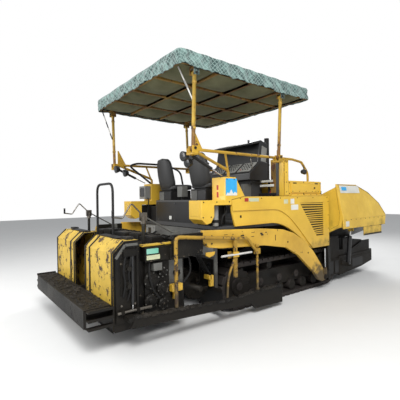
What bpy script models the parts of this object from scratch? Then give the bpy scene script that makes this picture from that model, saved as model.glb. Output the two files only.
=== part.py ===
"""Crawler asphalt paver: tractor, receiving hopper, augers, floating screed and folding canopy.

Metres, +Z up, +X forward, +Y to the machine's left. The origin is on the ground under the
middle of the machine's bounding box.
"""

from math import cos, pi, radians, sin, tan

import bmesh
import bpy
from mathutils import Matrix, Vector

# --- lengths along the machine, from the walkway at the rear to the push rollers -------------
WALKWAY_DEPTH = 0.32
SCREED_DEPTH = 1.01
AUGER_SPACE = 0.585
TRACTOR_LENGTH = 2.725
HOPPER_LENGTH = 1.86
ROLLER_REACH = 0.25

# --- widths --------------------------------------------------------------------------------
BODY_WIDTH = 2.40
TRACK_GAUGE = 1.80
TRACK_WIDTH = 0.32
FRAME_WIDTH = 1.40
WING_SPAN = BODY_WIDTH + 0.48
CANOPY_WIDTH = BODY_WIDTH + 0.32
SCREED_WIDTH = 2.16
MAIN_SHARE = 0.655 / 1.01  # share of the screed's depth that doesn't extend

# --- heights above the ground --------------------------------------------------------------
FRAME_BOTTOM_Z = 0.30
FRAME_TOP_Z = 1.00
COVER_LOW_Z = 0.78
DECK_Z = 1.30
SIDE_TOP_Z = 1.73
HOOD_TOP_Z = 2.00
RAIL_Z = 2.36
CANOPY_BASE_Z = 3.37
CANOPY_TOP_Z = 3.57
SCREED_BASE_Z = 0.20
SCREED_TOP_Z = 1.23
WALKWAY_Z = 0.52
CREASE_Z = 1.29
WING_HINGE_Z = 0.80

# --- running gear ----------------------------------------------------------------------------
TRACK_HEIGHT = 0.72
TRACK_REAR_X = -1.375
TRACK_FRONT_X = 1.725
SHOE_THICKNESS = 0.035
BELT_THICKNESS = 0.035
SHOE_COUNT = 48
ARC_STEPS = 12
ROLLER_COUNT = 6
TRACK_ROLLER_RADIUS = 0.09

# --- plate and tube sizes ---------------------------------------------------------------------
PLATE = 0.03
SKIN = 0.02
FRAME_PLATE = 0.06
ARM_THICKNESS = 0.06
POST_RADIUS = 0.026
RAIL_RADIUS = 0.022
CANOPY_BAR = 0.045
COVER_WALL = 0.012
CANOPY_OVERHANG_REAR = 0.28
CANOPY_OVERHANG_FRONT = 0.67
CANOPY_BARS_ALONG = 3
CANOPY_BARS_ACROSS = 3

# --- clearances ------------------------------------------------------------------------------
SEAT = 0.0003
RUNNING = 0.006
BORE_GAP = 0.0005

# --- stations that follow ------------------------------------------------------------------------
LENGTH = (WALKWAY_DEPTH + SCREED_DEPTH + AUGER_SPACE + TRACTOR_LENGTH
          + HOPPER_LENGTH + ROLLER_REACH)
REAR_X = -LENGTH / 2
SCREED_REAR_X = REAR_X + WALKWAY_DEPTH
SCREED_FRONT_X = SCREED_REAR_X + SCREED_DEPTH
TRACTOR_REAR_X = SCREED_FRONT_X + AUGER_SPACE
HOOD_FRONT_X = TRACTOR_REAR_X + TRACTOR_LENGTH
HOPPER_FRONT_X = HOOD_FRONT_X + HOPPER_LENGTH
FRONT_X = HOPPER_FRONT_X + ROLLER_REACH
HALF = BODY_WIDTH / 2
HALF_GAUGE = TRACK_GAUGE / 2
HALF_FRAME = FRAME_WIDTH / 2
HALF_SCREED = SCREED_WIDTH / 2
HALF_CANOPY = CANOPY_WIDTH / 2
HALF_WING = WING_SPAN / 2

SIDES = (("right", -1), ("left", 1))


# ============================================================================================
# finishes
# ============================================================================================

FINISHES = {
    "yellow": ((0.80, 0.48, 0.06), 0.45, 0.0),
    "ochre": ((0.45, 0.27, 0.06), 0.65, 0.0),
    "black_steel": ((0.03, 0.03, 0.03), 0.55, 0.3),
    "grey_steel": ((0.14, 0.14, 0.13), 0.55, 0.4),
    "dark_grey": ((0.07, 0.07, 0.07), 0.6, 0.1),
    "chrome": ((0.75, 0.75, 0.75), 0.15, 1.0),
    "track": ((0.05, 0.045, 0.04), 0.7, 0.3),
    "net": ((0.10, 0.22, 0.18), 0.9, 0.0),
    "lining": ((0.20, 0.18, 0.08), 0.85, 0.0),
    "vinyl": ((0.02, 0.02, 0.02), 0.5, 0.0),
}


def finish(name):
    """Return the named finish as a Principled material, made once."""
    made = bpy.data.materials.get(name)
    if made:
        return made
    colour, roughness, metallic = FINISHES[name]
    material = bpy.data.materials.new(name)
    material.use_nodes = True
    shader = material.node_tree.nodes["Principled BSDF"]
    shader.inputs["Base Color"].default_value = (*colour, 1.0)
    shader.inputs["Roughness"].default_value = roughness
    shader.inputs["Metallic"].default_value = metallic
    return material


# ============================================================================================
# shapes
# ============================================================================================

def clear_scene():
    """Remove every object, and return new collections for the parts and for the cutters."""
    for item in list(bpy.data.objects):
        bpy.data.objects.remove(item, do_unlink=True)
    parts = bpy.data.collections.new("asphalt_paver")
    tools = bpy.data.collections.new("cutters")
    for collection in (parts, tools):
        bpy.context.scene.collection.children.link(collection)
    return parts, tools


PARTS, TOOLS = clear_scene()


def add(name, data, look="black_steel"):
    """Link new object data into the parts, with its finish."""
    item = bpy.data.objects.new(name, data)
    PARTS.objects.link(item)
    data.materials.clear()
    data.materials.append(finish(look))
    return item


def shade(mesh):
    """Shade round faces smooth and keep edges over 35 degrees sharp."""
    mesh.shade_smooth()
    mesh.set_sharp_from_angle(angle=radians(35))


def box(name, xs, ys, zs, look="black_steel"):
    """A block between two corners, given as ranges in any order."""
    low = Vector((min(xs), min(ys), min(zs)))
    high = Vector((max(xs), max(ys), max(zs)))
    form = bmesh.new()
    bmesh.ops.create_cube(form, size=1.0)
    bmesh.ops.scale(form, vec=high - low, verts=form.verts)
    bmesh.ops.translate(form, vec=(low + high) / 2, verts=form.verts)
    mesh = bpy.data.meshes.new(name)
    form.to_mesh(mesh)
    form.free()
    return add(name, mesh, look)


def rod(name, start, end, radius, look="black_steel", segments=16, radius_end=None):
    """A straight round bar, or a cone where the end radius differs."""
    start = Vector(start)
    end = Vector(end)
    run = end - start
    form = bmesh.new()
    bmesh.ops.create_cone(form, cap_ends=True, segments=segments, radius1=radius,
                          radius2=radius if radius_end is None else radius_end,
                          depth=run.length)
    turn = run.to_track_quat("Z", "Y").to_matrix().to_4x4()
    bmesh.ops.transform(form, matrix=Matrix.Translation((start + end) / 2) @ turn,
                        verts=form.verts)
    mesh = bpy.data.meshes.new(name)
    form.to_mesh(mesh)
    form.free()
    shade(mesh)
    return add(name, mesh, look)


def to_mesh(curve, look):
    """Turn a curve object into a closed mesh object of the same name."""
    bpy.context.view_layer.update()
    graph = bpy.context.evaluated_depsgraph_get()
    mesh = bpy.data.meshes.new_from_object(curve.evaluated_get(graph))
    form = bmesh.new()
    form.from_mesh(mesh)
    bmesh.ops.remove_doubles(form, verts=form.verts, dist=0.00005)
    bmesh.ops.transform(form, matrix=curve.matrix_world, verts=form.verts)
    bmesh.ops.recalc_face_normals(form, faces=form.faces)
    form.to_mesh(mesh)
    form.free()
    shade(mesh)
    name = curve.name
    bpy.data.objects.remove(curve, do_unlink=True)
    mesh.name = name
    return add(name, mesh, look)


PLANES = {
    "xy": Matrix.Identity(4),
    "xz": Matrix(((1, 0, 0, 0), (0, 0, -1, 0), (0, 1, 0, 0), (0, 0, 0, 1))),
    "yz": Matrix(((0, 0, 1, 0), (1, 0, 0, 0), (0, 1, 0, 0), (0, 0, 0, 1))),
}
NORMALS = {"xy": Vector((0, 0, 1)), "xz": Vector((0, 1, 0)), "yz": Vector((1, 0, 0))}


def plate(name, plane, outline, near, far, look="black_steel", holes=()):
    """A flat outline in a plane, as thick as the distance between near and far."""
    data = bpy.data.curves.new(name, "CURVE")
    data.dimensions = "2D"
    data.fill_mode = "BOTH"
    data.extrude = abs(far - near) / 2
    for loop in (outline, *holes):
        line = data.splines.new("POLY")
        line.points.add(len(loop) - 1)
        for point, place in zip(line.points, loop):
            point.co = (place[0], place[1], 0, 1)
        line.use_cyclic_u = True
    curve = bpy.data.objects.new(name, data)
    PARTS.objects.link(curve)
    shift = Matrix.Translation(NORMALS[plane] * (near + far) / 2)
    curve.matrix_world = shift @ PLANES[plane]
    return to_mesh(curve, look)


def rounded(points, radius, steps=4):
    """The points of a path with each inner corner turned into an arc."""
    path = [Vector(points[0])]
    for before, corner, after in zip(points, points[1:], points[2:]):
        corner = Vector(corner)
        back = (Vector(before) - corner)
        on = (Vector(after) - corner)
        half = back.angle(on) / 2
        reach = min(radius / tan(half), back.length * 0.45, on.length * 0.45)
        start = corner + back.normalized() * reach
        end = corner + on.normalized() * reach
        for step in range(steps + 1):
            t = step / steps
            path.append(start * (1 - t) ** 2 + corner * 2 * t * (1 - t) + end * t ** 2)
    path.append(Vector(points[-1]))
    return path


def tube(name, points, radius, look="black_steel", bend=0.08):
    """A bent round bar or pipe through the points."""
    data = bpy.data.curves.new(name, "CURVE")
    data.dimensions = "3D"
    data.bevel_depth = radius
    data.bevel_resolution = 2
    data.use_fill_caps = True
    path = rounded(points, bend)
    line = data.splines.new("POLY")
    line.points.add(len(path) - 1)
    for point, place in zip(line.points, path):
        point.co = (*place, 1)
    curve = bpy.data.objects.new(name, data)
    PARTS.objects.link(curve)
    return to_mesh(curve, look)


def make_tool(item):
    """Hide an object that only joins or cuts another."""
    PARTS.objects.unlink(item)
    TOOLS.objects.link(item)
    item.hide_render = True
    item.display_type = "WIRE"


def combine(target, others, operation):
    """Join or cut the target by each of the others."""
    for other in others:
        change = target.modifiers.new(operation.lower(), "BOOLEAN")
        change.operation = operation
        change.solver = "EXACT"
        change.object = other
        make_tool(other)
    return target


def fuse(target, *others):
    """Join the others to the target, as welded."""
    return combine(target, others, "UNION")


def cut(target, *others):
    """Cut the others out of the target."""
    return combine(target, others, "DIFFERENCE")


def stadium(rear, front, low, high, inset=0.0):
    """A loop of two half circles and two straight runs, in side view."""
    radius = (high - low) / 2 - inset
    middle = (high + low) / 2
    centres = ((front - inset - radius, -pi / 2), (rear + inset + radius, pi / 2))
    points = []
    for centre, begin in centres:
        for step in range(ARC_STEPS + 1):
            angle = begin + pi * step / ARC_STEPS
            points.append((centre + radius * cos(angle), middle + radius * sin(angle)))
    return points


# ============================================================================================
# running gear
# ============================================================================================

TRACK_INNER = SHOE_THICKNESS + BELT_THICKNESS
TRACK_END_RADIUS = TRACK_HEIGHT / 2
SPROCKET_X = TRACK_REAR_X + TRACK_END_RADIUS
IDLER_X = TRACK_FRONT_X - TRACK_END_RADIUS
AXLE_Z = TRACK_HEIGHT / 2


def loop_point(distance, offset):
    """A point at a distance along the track's belt line, moved outwards by an offset."""
    radius = TRACK_END_RADIUS - SHOE_THICKNESS
    straight = IDLER_X - SPROCKET_X
    arc = pi * radius
    distance %= 2 * (straight + arc)
    reach = radius + offset
    if distance < straight:
        return (SPROCKET_X + distance, AXLE_Z - reach)
    distance -= straight
    if distance < arc:
        angle = -pi / 2 + distance / radius
        return (IDLER_X + reach * cos(angle), AXLE_Z + reach * sin(angle))
    distance -= arc
    if distance < straight:
        return (IDLER_X - distance, AXLE_Z + reach)
    angle = pi / 2 + (distance - straight) / radius
    return (SPROCKET_X + reach * cos(angle), AXLE_Z + reach * sin(angle))


def track_outline():
    """The outside of a track: one raised shoe for each pitch."""
    radius = TRACK_END_RADIUS - SHOE_THICKNESS
    total = 2 * (IDLER_X - SPROCKET_X + pi * radius)
    pitch = total / SHOE_COUNT
    points = []
    for shoe in range(SHOE_COUNT):
        start = shoe * pitch
        for share, offset in ((0.06, 0.0), (0.10, SHOE_THICKNESS),
                              (0.86, SHOE_THICKNESS), (0.90, 0.0)):
            points.append(loop_point(start + share * pitch, offset))
    return points


def build_track(side, sign):
    """One crawler: a closed belt with its shoes."""
    outer = sign * (HALF_GAUGE + TRACK_WIDTH / 2)
    inner = sign * (HALF_GAUGE - TRACK_WIDTH / 2)
    hole = stadium(TRACK_REAR_X, TRACK_FRONT_X, 0, TRACK_HEIGHT, TRACK_INNER)
    return plate("track_" + side, "xz", track_outline(), inner, outer, "track", [hole])


def toothed(centre_x, centre_z, radius, tooth, count):
    """A toothed disc's outline."""
    points = []
    for index in range(count):
        for share, reach in ((0.0, radius), (0.28, radius), (0.42, radius + tooth),
                             (0.70, radius + tooth), (0.84, radius)):
            angle = 2 * pi * (index + share) / count
            points.append((centre_x + reach * cos(angle), centre_z + reach * sin(angle)))
    return points


ROLLER_FRAME_WIDTH = 0.16
ROLLER_WIDTH = 0.24


def build_track_frame(side, sign):
    """The beam inside one crawler, with its sprocket, idler and rollers."""
    middle = sign * HALF_GAUGE
    ys = (middle - ROLLER_FRAME_WIDTH / 2, middle + ROLLER_FRAME_WIDTH / 2)
    wheel_ys = (middle - ROLLER_WIDTH / 2, middle + ROLLER_WIDTH / 2)
    beam = box("track_frame_" + side, (SPROCKET_X + 0.10, IDLER_X - 0.05), ys,
               (0.22, 0.50), "track")
    wheel_radius = (TRACK_END_RADIUS - TRACK_INNER) * cos(pi / (2 * ARC_STEPS)) - SEAT
    tooth = 0.03
    sprocket = plate("sprocket", "xz",
                     toothed(SPROCKET_X, AXLE_Z, wheel_radius - tooth, tooth, 14),
                     *wheel_ys, "track")
    idler = rod("idler", (IDLER_X, wheel_ys[0], AXLE_Z), (IDLER_X, wheel_ys[1], AXLE_Z),
                wheel_radius, "track", 28)
    rollers = []
    span = IDLER_X - SPROCKET_X - 0.72
    for index in range(ROLLER_COUNT):
        x = SPROCKET_X + 0.36 + span * index / (ROLLER_COUNT - 1)
        z = TRACK_INNER + SEAT + TRACK_ROLLER_RADIUS
        rollers.append(rod("roller", (x, wheel_ys[0], z), (x, wheel_ys[1], z),
                           TRACK_ROLLER_RADIUS, "track", 16))
    for x in (SPROCKET_X + 0.75, IDLER_X - 0.70):
        z = TRACK_HEIGHT - TRACK_INNER - SEAT - 0.06
        rollers.append(rod("carrier", (x, wheel_ys[0], z), (x, wheel_ys[1], z), 0.06,
                           "track", 14))
        rollers.append(box("carrier_stand", (x - 0.03, x + 0.03), ys, (0.48, z), "track"))
    motor = rod("hub", (SPROCKET_X, middle, AXLE_Z),
                (SPROCKET_X, middle + sign * 0.15, AXLE_Z), 0.12, "track", 20)
    hub = rod("idler_hub", (IDLER_X, middle, AXLE_Z),
              (IDLER_X, middle + sign * 0.14, AXLE_Z), 0.06, "track", 16)
    return fuse(beam, sprocket, idler, motor, hub, *rollers)


# ============================================================================================
# tractor frame
# ============================================================================================

AXLE_BEAM_XS = (-0.55, 0.75)
AXLE_BEAM_LENGTH = 0.24
FRAME_REAR_X = TRACTOR_REAR_X + 0.06
FRAME_FRONT_X = HOOD_FRONT_X + 0.05
ROLLER_FRAME_INNER = HALF_GAUGE - ROLLER_FRAME_WIDTH / 2
COVER_THICKNESS = 0.05


GUIDE_FRONT_X = HOOD_FRONT_X + 0.04
LEVELLING_SETBACK = 0.08
LEVELLING_Y = HALF - 0.05
LEVELLING_ROD_RADIUS = 0.020
GUIDE_TOP_Z = COVER_LOW_Z - SEAT


def tow_guide(sign):
    """The upright guide that a tow block slides against, with its arm to the frame."""
    xs = (HOOD_FRONT_X - 0.035, GUIDE_FRONT_X)
    ys = (sign * (HALF - 0.10), sign * (HALF - 0.01))
    guide = box("guide", xs, ys, (0.12, GUIDE_TOP_Z))
    arm = box("guide_arm", (xs[0] + 0.01, xs[1] - 0.01),
              (sign * (HALF_FRAME - 0.01), ys[0] + sign * 0.02),
              (TRACK_HEIGHT + 0.02, GUIDE_TOP_Z - 0.005))
    return [guide, arm]


def build_main_frame():
    """Two longitudinal plates, a top plate and the beams that reach the track frames."""
    xs = (FRAME_REAR_X, FRAME_FRONT_X)
    top = box("main_frame", xs, (-HALF_FRAME, HALF_FRAME), (FRAME_TOP_Z - 0.04, FRAME_TOP_Z))
    pieces = []
    for _, sign in SIDES:
        ys = (sign * (HALF_FRAME - FRAME_PLATE), sign * HALF_FRAME)
        pieces.append(box("long", (xs[0] + 0.003, xs[1] - 0.003), ys,
                          (FRAME_BOTTOM_Z, FRAME_TOP_Z - 0.01)))
        shelf = (sign * (HALF_FRAME - 0.02), sign * (HALF - COVER_THICKNESS - SEAT))
        pieces.append(box("shelf", (FRAME_REAR_X + 0.01, HOOD_FRONT_X - 0.05), shelf,
                          (FRAME_TOP_Z - 0.03, FRAME_TOP_Z - 0.004)))
        pieces += tow_guide(sign)
    for x in AXLE_BEAM_XS:
        reach = ROLLER_FRAME_INNER - SEAT
        pieces.append(box("axle_beam", (x, x + AXLE_BEAM_LENGTH), (-reach, reach),
                          (FRAME_BOTTOM_Z - 0.02, FRAME_BOTTOM_Z + 0.12)))
    return fuse(top, *pieces)


def build_conveyor():
    """The slatted floor that carries asphalt back from the hopper to the augers."""
    floor_z = FRAME_BOTTOM_Z + 0.12 + SEAT
    xs = (TRACTOR_REAR_X - 0.10, FRAME_FRONT_X - 0.02)
    half = HALF_FRAME - FRAME_PLATE - SEAT
    floor = box("conveyor", xs, (-half, half), (floor_z, floor_z + 0.04), "grey_steel")
    pieces = [box("divider", xs, (-0.05, 0.05), (floor_z + 0.02, floor_z + 0.10))]
    count = 11
    for index in range(count):
        x = xs[0] + 0.10 + (xs[1] - xs[0] - 0.2) * index / (count - 1)
        pieces.append(box("slat", (x - 0.02, x + 0.02), (-half + 0.03, half - 0.03),
                          (floor_z + 0.02, floor_z + 0.065)))
    return fuse(floor, *pieces)


def build_rear_panel():
    """The plate across the tractor's rear, notched where the conveyor comes out."""
    half = HALF - 0.18
    notch = HALF_FRAME - FRAME_PLATE + RUNNING
    outline = [(-half, 0.34), (-notch, 0.34), (-notch, 0.80), (notch, 0.80), (notch, 0.34),
               (half, 0.34), (half, DECK_Z - 0.06), (-half, DECK_Z - 0.06)]
    return plate("tractor_rear_panel", "yz", outline, TRACTOR_REAR_X,
                 FRAME_REAR_X - SEAT, "grey_steel")


PLATFORM_FRONT_X = TRACTOR_REAR_X + 1.60
GUARD_TOP_Z = 1.69


def build_platform():
    """The operators' floor, with its rear guard panel and the bulkhead behind the hood."""
    edge = HALF - COVER_THICKNESS - SEAT
    xs = (TRACTOR_REAR_X, PLATFORM_FRONT_X)
    floor = box("operator_platform", xs, (-edge, edge), (DECK_Z - 0.05, DECK_Z), "dark_grey")
    pieces = [
        box("guard", (TRACTOR_REAR_X, TRACTOR_REAR_X + PLATE), (-0.62, 0.62),
            (DECK_Z - 0.04, GUARD_TOP_Z)),
        box("bulkhead", (PLATFORM_FRONT_X - PLATE, PLATFORM_FRONT_X), (-edge, edge),
            (DECK_Z - 0.04, SIDE_TOP_Z)),
    ]
    for _, sign in SIDES:
        pieces.append(box("leg", (TRACTOR_REAR_X + 0.08, PLATFORM_FRONT_X - 0.05),
                          (sign * 0.58, sign * 0.64), (FRAME_TOP_Z + SEAT, DECK_Z - 0.03)))
    return fuse(floor, *pieces)


def build_engine():
    """The engine, as one plain block on the frame under the hood."""
    return box("engine_block", (PLATFORM_FRONT_X + 0.08, HOOD_FRONT_X - 0.16), (-0.42, 0.42),
               (FRAME_TOP_Z + SEAT, HOOD_TOP_Z - 0.20), "dark_grey")


# ============================================================================================
# yellow bodywork
# ============================================================================================

COVER_REAR_X = TRACTOR_REAR_X + 0.195
COVER_ARCH_Z = 1.30
ARCH_REACH = 1.35
ARCH_WAVE = 0.62  # share of a half wave that the arch's edge uses
GRILLE_TOP_Z = 1.60
GRILLE_LOW_Z = 1.01


def arch(start, end, steps=9):
    """The cover's lower edge: level at the rear, then a quarter wave down to the front."""
    full = 1.0 - cos(pi * ARCH_WAVE)
    points = []
    for step in range(steps + 1):
        share = step / steps
        x = start[0] + (end[0] - start[0]) * share
        drop = (1.0 - cos(pi * ARCH_WAVE * share)) / full
        points.append((x, start[1] + (end[1] - start[1]) * drop))
    return points


def build_side_cover(side, sign):
    """The large side cover with its arched lower edge and its louvre opening."""
    front = HOOD_FRONT_X
    lower = arch((front - ARCH_REACH - 0.32, COVER_ARCH_Z), (front - 0.57, COVER_LOW_Z))
    outline = [(COVER_REAR_X + 0.07, COVER_ARCH_Z - 0.01), *lower,
               (front, COVER_LOW_Z), (front, SIDE_TOP_Z), (COVER_REAR_X + 0.26, SIDE_TOP_Z),
               (COVER_REAR_X, SIDE_TOP_Z - 0.05), (COVER_REAR_X + 0.01, COVER_ARCH_Z + 0.21)]
    ys = (sign * (HALF - COVER_THICKNESS), sign * HALF)
    cover = plate("side_cover_" + side, "xz", outline, *ys, "yellow")
    mouth = [(front - 0.90, GRILLE_TOP_Z), (front - 0.19, GRILLE_TOP_Z),
             (front - 0.20, GRILLE_LOW_Z), (front - 0.41, GRILLE_LOW_Z)]
    opening = plate("grille_cutter", "xz", mouth, sign * (HALF - 0.025), sign * (HALF + 0.1))
    x = front - LEVELLING_SETBACK
    y = sign * LEVELLING_Y
    groove = rod("groove", (x, y, COVER_LOW_Z - 0.10), (x, y, COVER_LOW_Z + 0.12),
                 LEVELLING_ROD_RADIUS + RUNNING)
    return cut(cover, opening, groove)


HOOD_REAR_X = PLATFORM_FRONT_X + 0.015
HOOD_HALF = HALF - 0.10
HOOD_DOOR_LOW_Z = SIDE_TOP_Z + 0.06
HOOD_DOOR_HIGH_Z = HOOD_TOP_Z - 0.03
LID_THICKNESS = 0.02


def build_hood():
    """The upper housing over the engine: a shell open below, at both doors and at the lid."""
    xs = (HOOD_REAR_X, HOOD_FRONT_X - 0.10)
    hood = box("engine_hood", xs, (-HOOD_HALF, HOOD_HALF),
               (SIDE_TOP_Z + SEAT, HOOD_TOP_Z), "yellow")
    inside = box("hood_inside", (xs[0] + SKIN, xs[1] - SKIN),
                 (-HOOD_HALF + SKIN, HOOD_HALF - SKIN), (0, HOOD_TOP_Z - SKIN))
    lid_way = box("lid_way", (xs[0] + 0.20, xs[1] - 0.06), (-0.72, 0.72),
                  (HOOD_TOP_Z - 0.1, HOOD_TOP_Z + 0.1))
    door_way = box("door_way", (xs[0] + 0.10, xs[1] - 0.10),
                   (-HOOD_HALF - 0.1, HOOD_HALF + 0.1),
                   (HOOD_DOOR_LOW_Z + 0.02, HOOD_DOOR_HIGH_Z - 0.03))
    cut(hood, inside, lid_way, door_way)
    ledges = []
    for _, sign in SIDES:
        ledges.append(box("ledge", (xs[0], HOOD_FRONT_X - 0.06),
                          (sign * (HOOD_HALF - 0.01), sign * (HALF - 0.02)),
                          (SIDE_TOP_Z + SEAT, SIDE_TOP_Z + 0.02)))
    return fuse(hood, *ledges)


def hinge_x():
    """Where the lid's hinge pin lies along the machine."""
    return HOOD_FRONT_X - 0.13


def build_hood_lid():
    """The lid over the engine, hinged along its front edge."""
    lid = box("hood_lid", (HOOD_REAR_X + 0.18, hinge_x()), (-0.74, 0.74),
              (HOOD_TOP_Z + SEAT, HOOD_TOP_Z + LID_THICKNESS), "yellow")
    pin = rod("pin", (hinge_x(), -0.66, HOOD_TOP_Z + 0.015),
              (hinge_x(), 0.66, HOOD_TOP_Z + 0.015), 0.0145, "black_steel", 12)
    handle = box("handle", (HOOD_REAR_X + 0.22, HOOD_REAR_X + 0.25), (-0.07, 0.07),
                 (HOOD_TOP_Z + 0.01, HOOD_TOP_Z + 0.05))
    return fuse(lid, pin, handle)


def build_hood_door(side, sign):
    """A service flap in the hood's side, hinged along its top edge."""
    xs = (HOOD_REAR_X + 0.08, HOOD_FRONT_X - 0.18)
    face = sign * (HOOD_HALF + SEAT)
    door = box("hood_door_" + side, xs, (face, face + sign * 0.015),
               (HOOD_DOOR_LOW_Z, HOOD_DOOR_HIGH_Z - 0.012), "yellow")
    pin = rod("pin", (xs[0] + 0.02, sign * (HOOD_HALF + 0.009), HOOD_DOOR_HIGH_Z - 0.012),
              (xs[1] - 0.02, sign * (HOOD_HALF + 0.009), HOOD_DOOR_HIGH_Z - 0.012),
              0.0085, "black_steel", 10)
    latch = box("latch", (xs[1] - 0.16, xs[1] - 0.10),
                (face + sign * 0.01, face + sign * 0.028),
                (HOOD_DOOR_LOW_Z + 0.03, HOOD_DOOR_LOW_Z + 0.06))
    return fuse(door, pin, latch)


def build_exhaust():
    """The exhaust stack on the hood, with an open mouth."""
    x = HOOD_REAR_X + 0.09
    y = -0.56
    stack = rod("exhaust_stack", (x, y, HOOD_TOP_Z + SEAT), (x, y, 2.82), 0.045, "black_steel",
                20)
    flange = rod("flange", (x, y, HOOD_TOP_Z + SEAT), (x, y, HOOD_TOP_Z + 0.02), 0.075)
    fuse(stack, flange)
    bore = rod("bore", (x, y, 2.60), (x, y, 2.90), 0.038)
    return cut(stack, bore)


BOX_TOP_Z = 2.01
BOX_STEP_Z = 1.68
BOX_FLOOR_Z = 1.61


def build_rear_box(side, sign):
    """The stepped yellow box at one rear corner of the platform."""
    rear = TRACTOR_REAR_X - 0.365
    front = COVER_REAR_X + 0.265
    outline = [(rear, 1.42), (rear, BOX_STEP_Z), (TRACTOR_REAR_X + 0.065, BOX_STEP_Z),
               (TRACTOR_REAR_X + 0.065, BOX_TOP_Z), (front - 0.185, BOX_TOP_Z),
               (front, SIDE_TOP_Z + SEAT), (COVER_REAR_X + 0.24, SIDE_TOP_Z + SEAT),
               (COVER_REAR_X - RUNNING, SIDE_TOP_Z - 0.045),
               (COVER_REAR_X - RUNNING, BOX_FLOOR_Z), (rear + 0.225, BOX_FLOOR_Z),
               (rear + 0.225, 1.46), (rear + 0.165, 1.37), (rear + 0.085, 1.35)]
    ys = (sign * (HALF - 0.29), sign * HALF)
    body = plate("rear_box_" + side, "xz", outline, *ys, "yellow")
    post = box("post", (TRACTOR_REAR_X + 0.002, TRACTOR_REAR_X + 0.10),
               (sign * (HALF - 0.28), sign * (HALF - 0.20)), (DECK_Z + SEAT, BOX_FLOOR_Z + 0.02))
    return fuse(body, post)


# ============================================================================================
# platform furniture
# ============================================================================================

SEAT_X = TRACTOR_REAR_X + 0.34
SEAT_Y = 0.50
SEAT_TOP_Z = 2.50
SEAT_BASE_TOP_Z = 1.86


def build_seat(side, sign):
    """One operator's seat: cushion and curved back on its pedestal box."""
    z = SEAT_BASE_TOP_Z
    profile = [(SEAT_X - 0.24, z), (SEAT_X + 0.27, z), (SEAT_X + 0.29, z + 0.11),
               (SEAT_X - 0.10, z + 0.12), (SEAT_X - 0.20, SEAT_TOP_Z - 0.03),
               (SEAT_X - 0.26, SEAT_TOP_Z), (SEAT_X - 0.34, SEAT_TOP_Z - 0.05),
               (SEAT_X - 0.27, z + 0.10)]
    seat = plate("operator_seat_" + side, "xz", profile, sign * SEAT_Y - 0.25,
                 sign * SEAT_Y + 0.25, "vinyl")
    base = box("base", (SEAT_X - 0.22, SEAT_X + 0.22), (sign * SEAT_Y - 0.20,
               sign * SEAT_Y + 0.20), (DECK_Z + SEAT, z + 0.02), "dark_grey")
    return fuse(seat, base)


CONSOLE_X = PLATFORM_FRONT_X - 0.33


def build_console():
    """The control desk across the front of the platform, under a raised cover."""
    stand = box("control_console", (CONSOLE_X - 0.06, CONSOLE_X + 0.22), (-0.62, 0.36),
                (DECK_Z + SEAT, 2.05), "dark_grey")
    desk = plate("desk", "xz", [(CONSOLE_X - 0.22, 2.02), (CONSOLE_X + 0.24, 2.02),
                                (CONSOLE_X + 0.24, 2.34), (CONSOLE_X + 0.06, 2.36),
                                (CONSOLE_X - 0.22, 2.14)], -0.74, 0.44)
    cover = plate("cover", "xz", [(CONSOLE_X + 0.02, 2.32), (CONSOLE_X + 0.24, 2.30),
                                  (CONSOLE_X + 0.30, 2.68), (CONSOLE_X + 0.12, 2.74),
                                  (CONSOLE_X - 0.16, 2.66), (CONSOLE_X - 0.15, 2.63),
                                  (CONSOLE_X + 0.09, 2.69)], -0.70, 0.42)
    return fuse(stand, desk, cover)


# ============================================================================================
# rails and canopy
# ============================================================================================

REAR_PIVOT_X = TRACTOR_REAR_X - 0.525
FRONT_PIVOT_X = REAR_PIVOT_X + 1.72
PIVOT_Z = RAIL_Z
TOP_PIVOT_Z = CANOPY_BASE_Z - 0.055
POST_FOOT_Y = HALF + 0.045
POST_TOP_Y = HALF_CANOPY - 0.065
EYE_RADIUS = 0.034
EYE_WIDTH = 0.066
CHEEK = 0.012
PEDESTAL_X = FRONT_PIVOT_X + 0.20


def cheeks(name, x, y, z, drop, rise):
    """Two plates either side of an eye, from below it to just over its pin."""
    pieces = []
    for sign in (-1, 1):
        near = y + sign * (EYE_WIDTH / 2 + SEAT)
        pieces.append(box(name, (x - 0.045, x + 0.045), (near, near + sign * CHEEK),
                          (z - drop, z + rise)))
    return pieces


def pedestal(sign):
    """The box that carries a front post, standing on the side cover."""
    return box("pedestal", (PEDESTAL_X, PEDESTAL_X + 0.12),
               (sign * (HALF - 0.29), sign * (HALF - 0.01)),
               (SIDE_TOP_Z + SEAT, RAIL_Z), "ochre")


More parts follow.
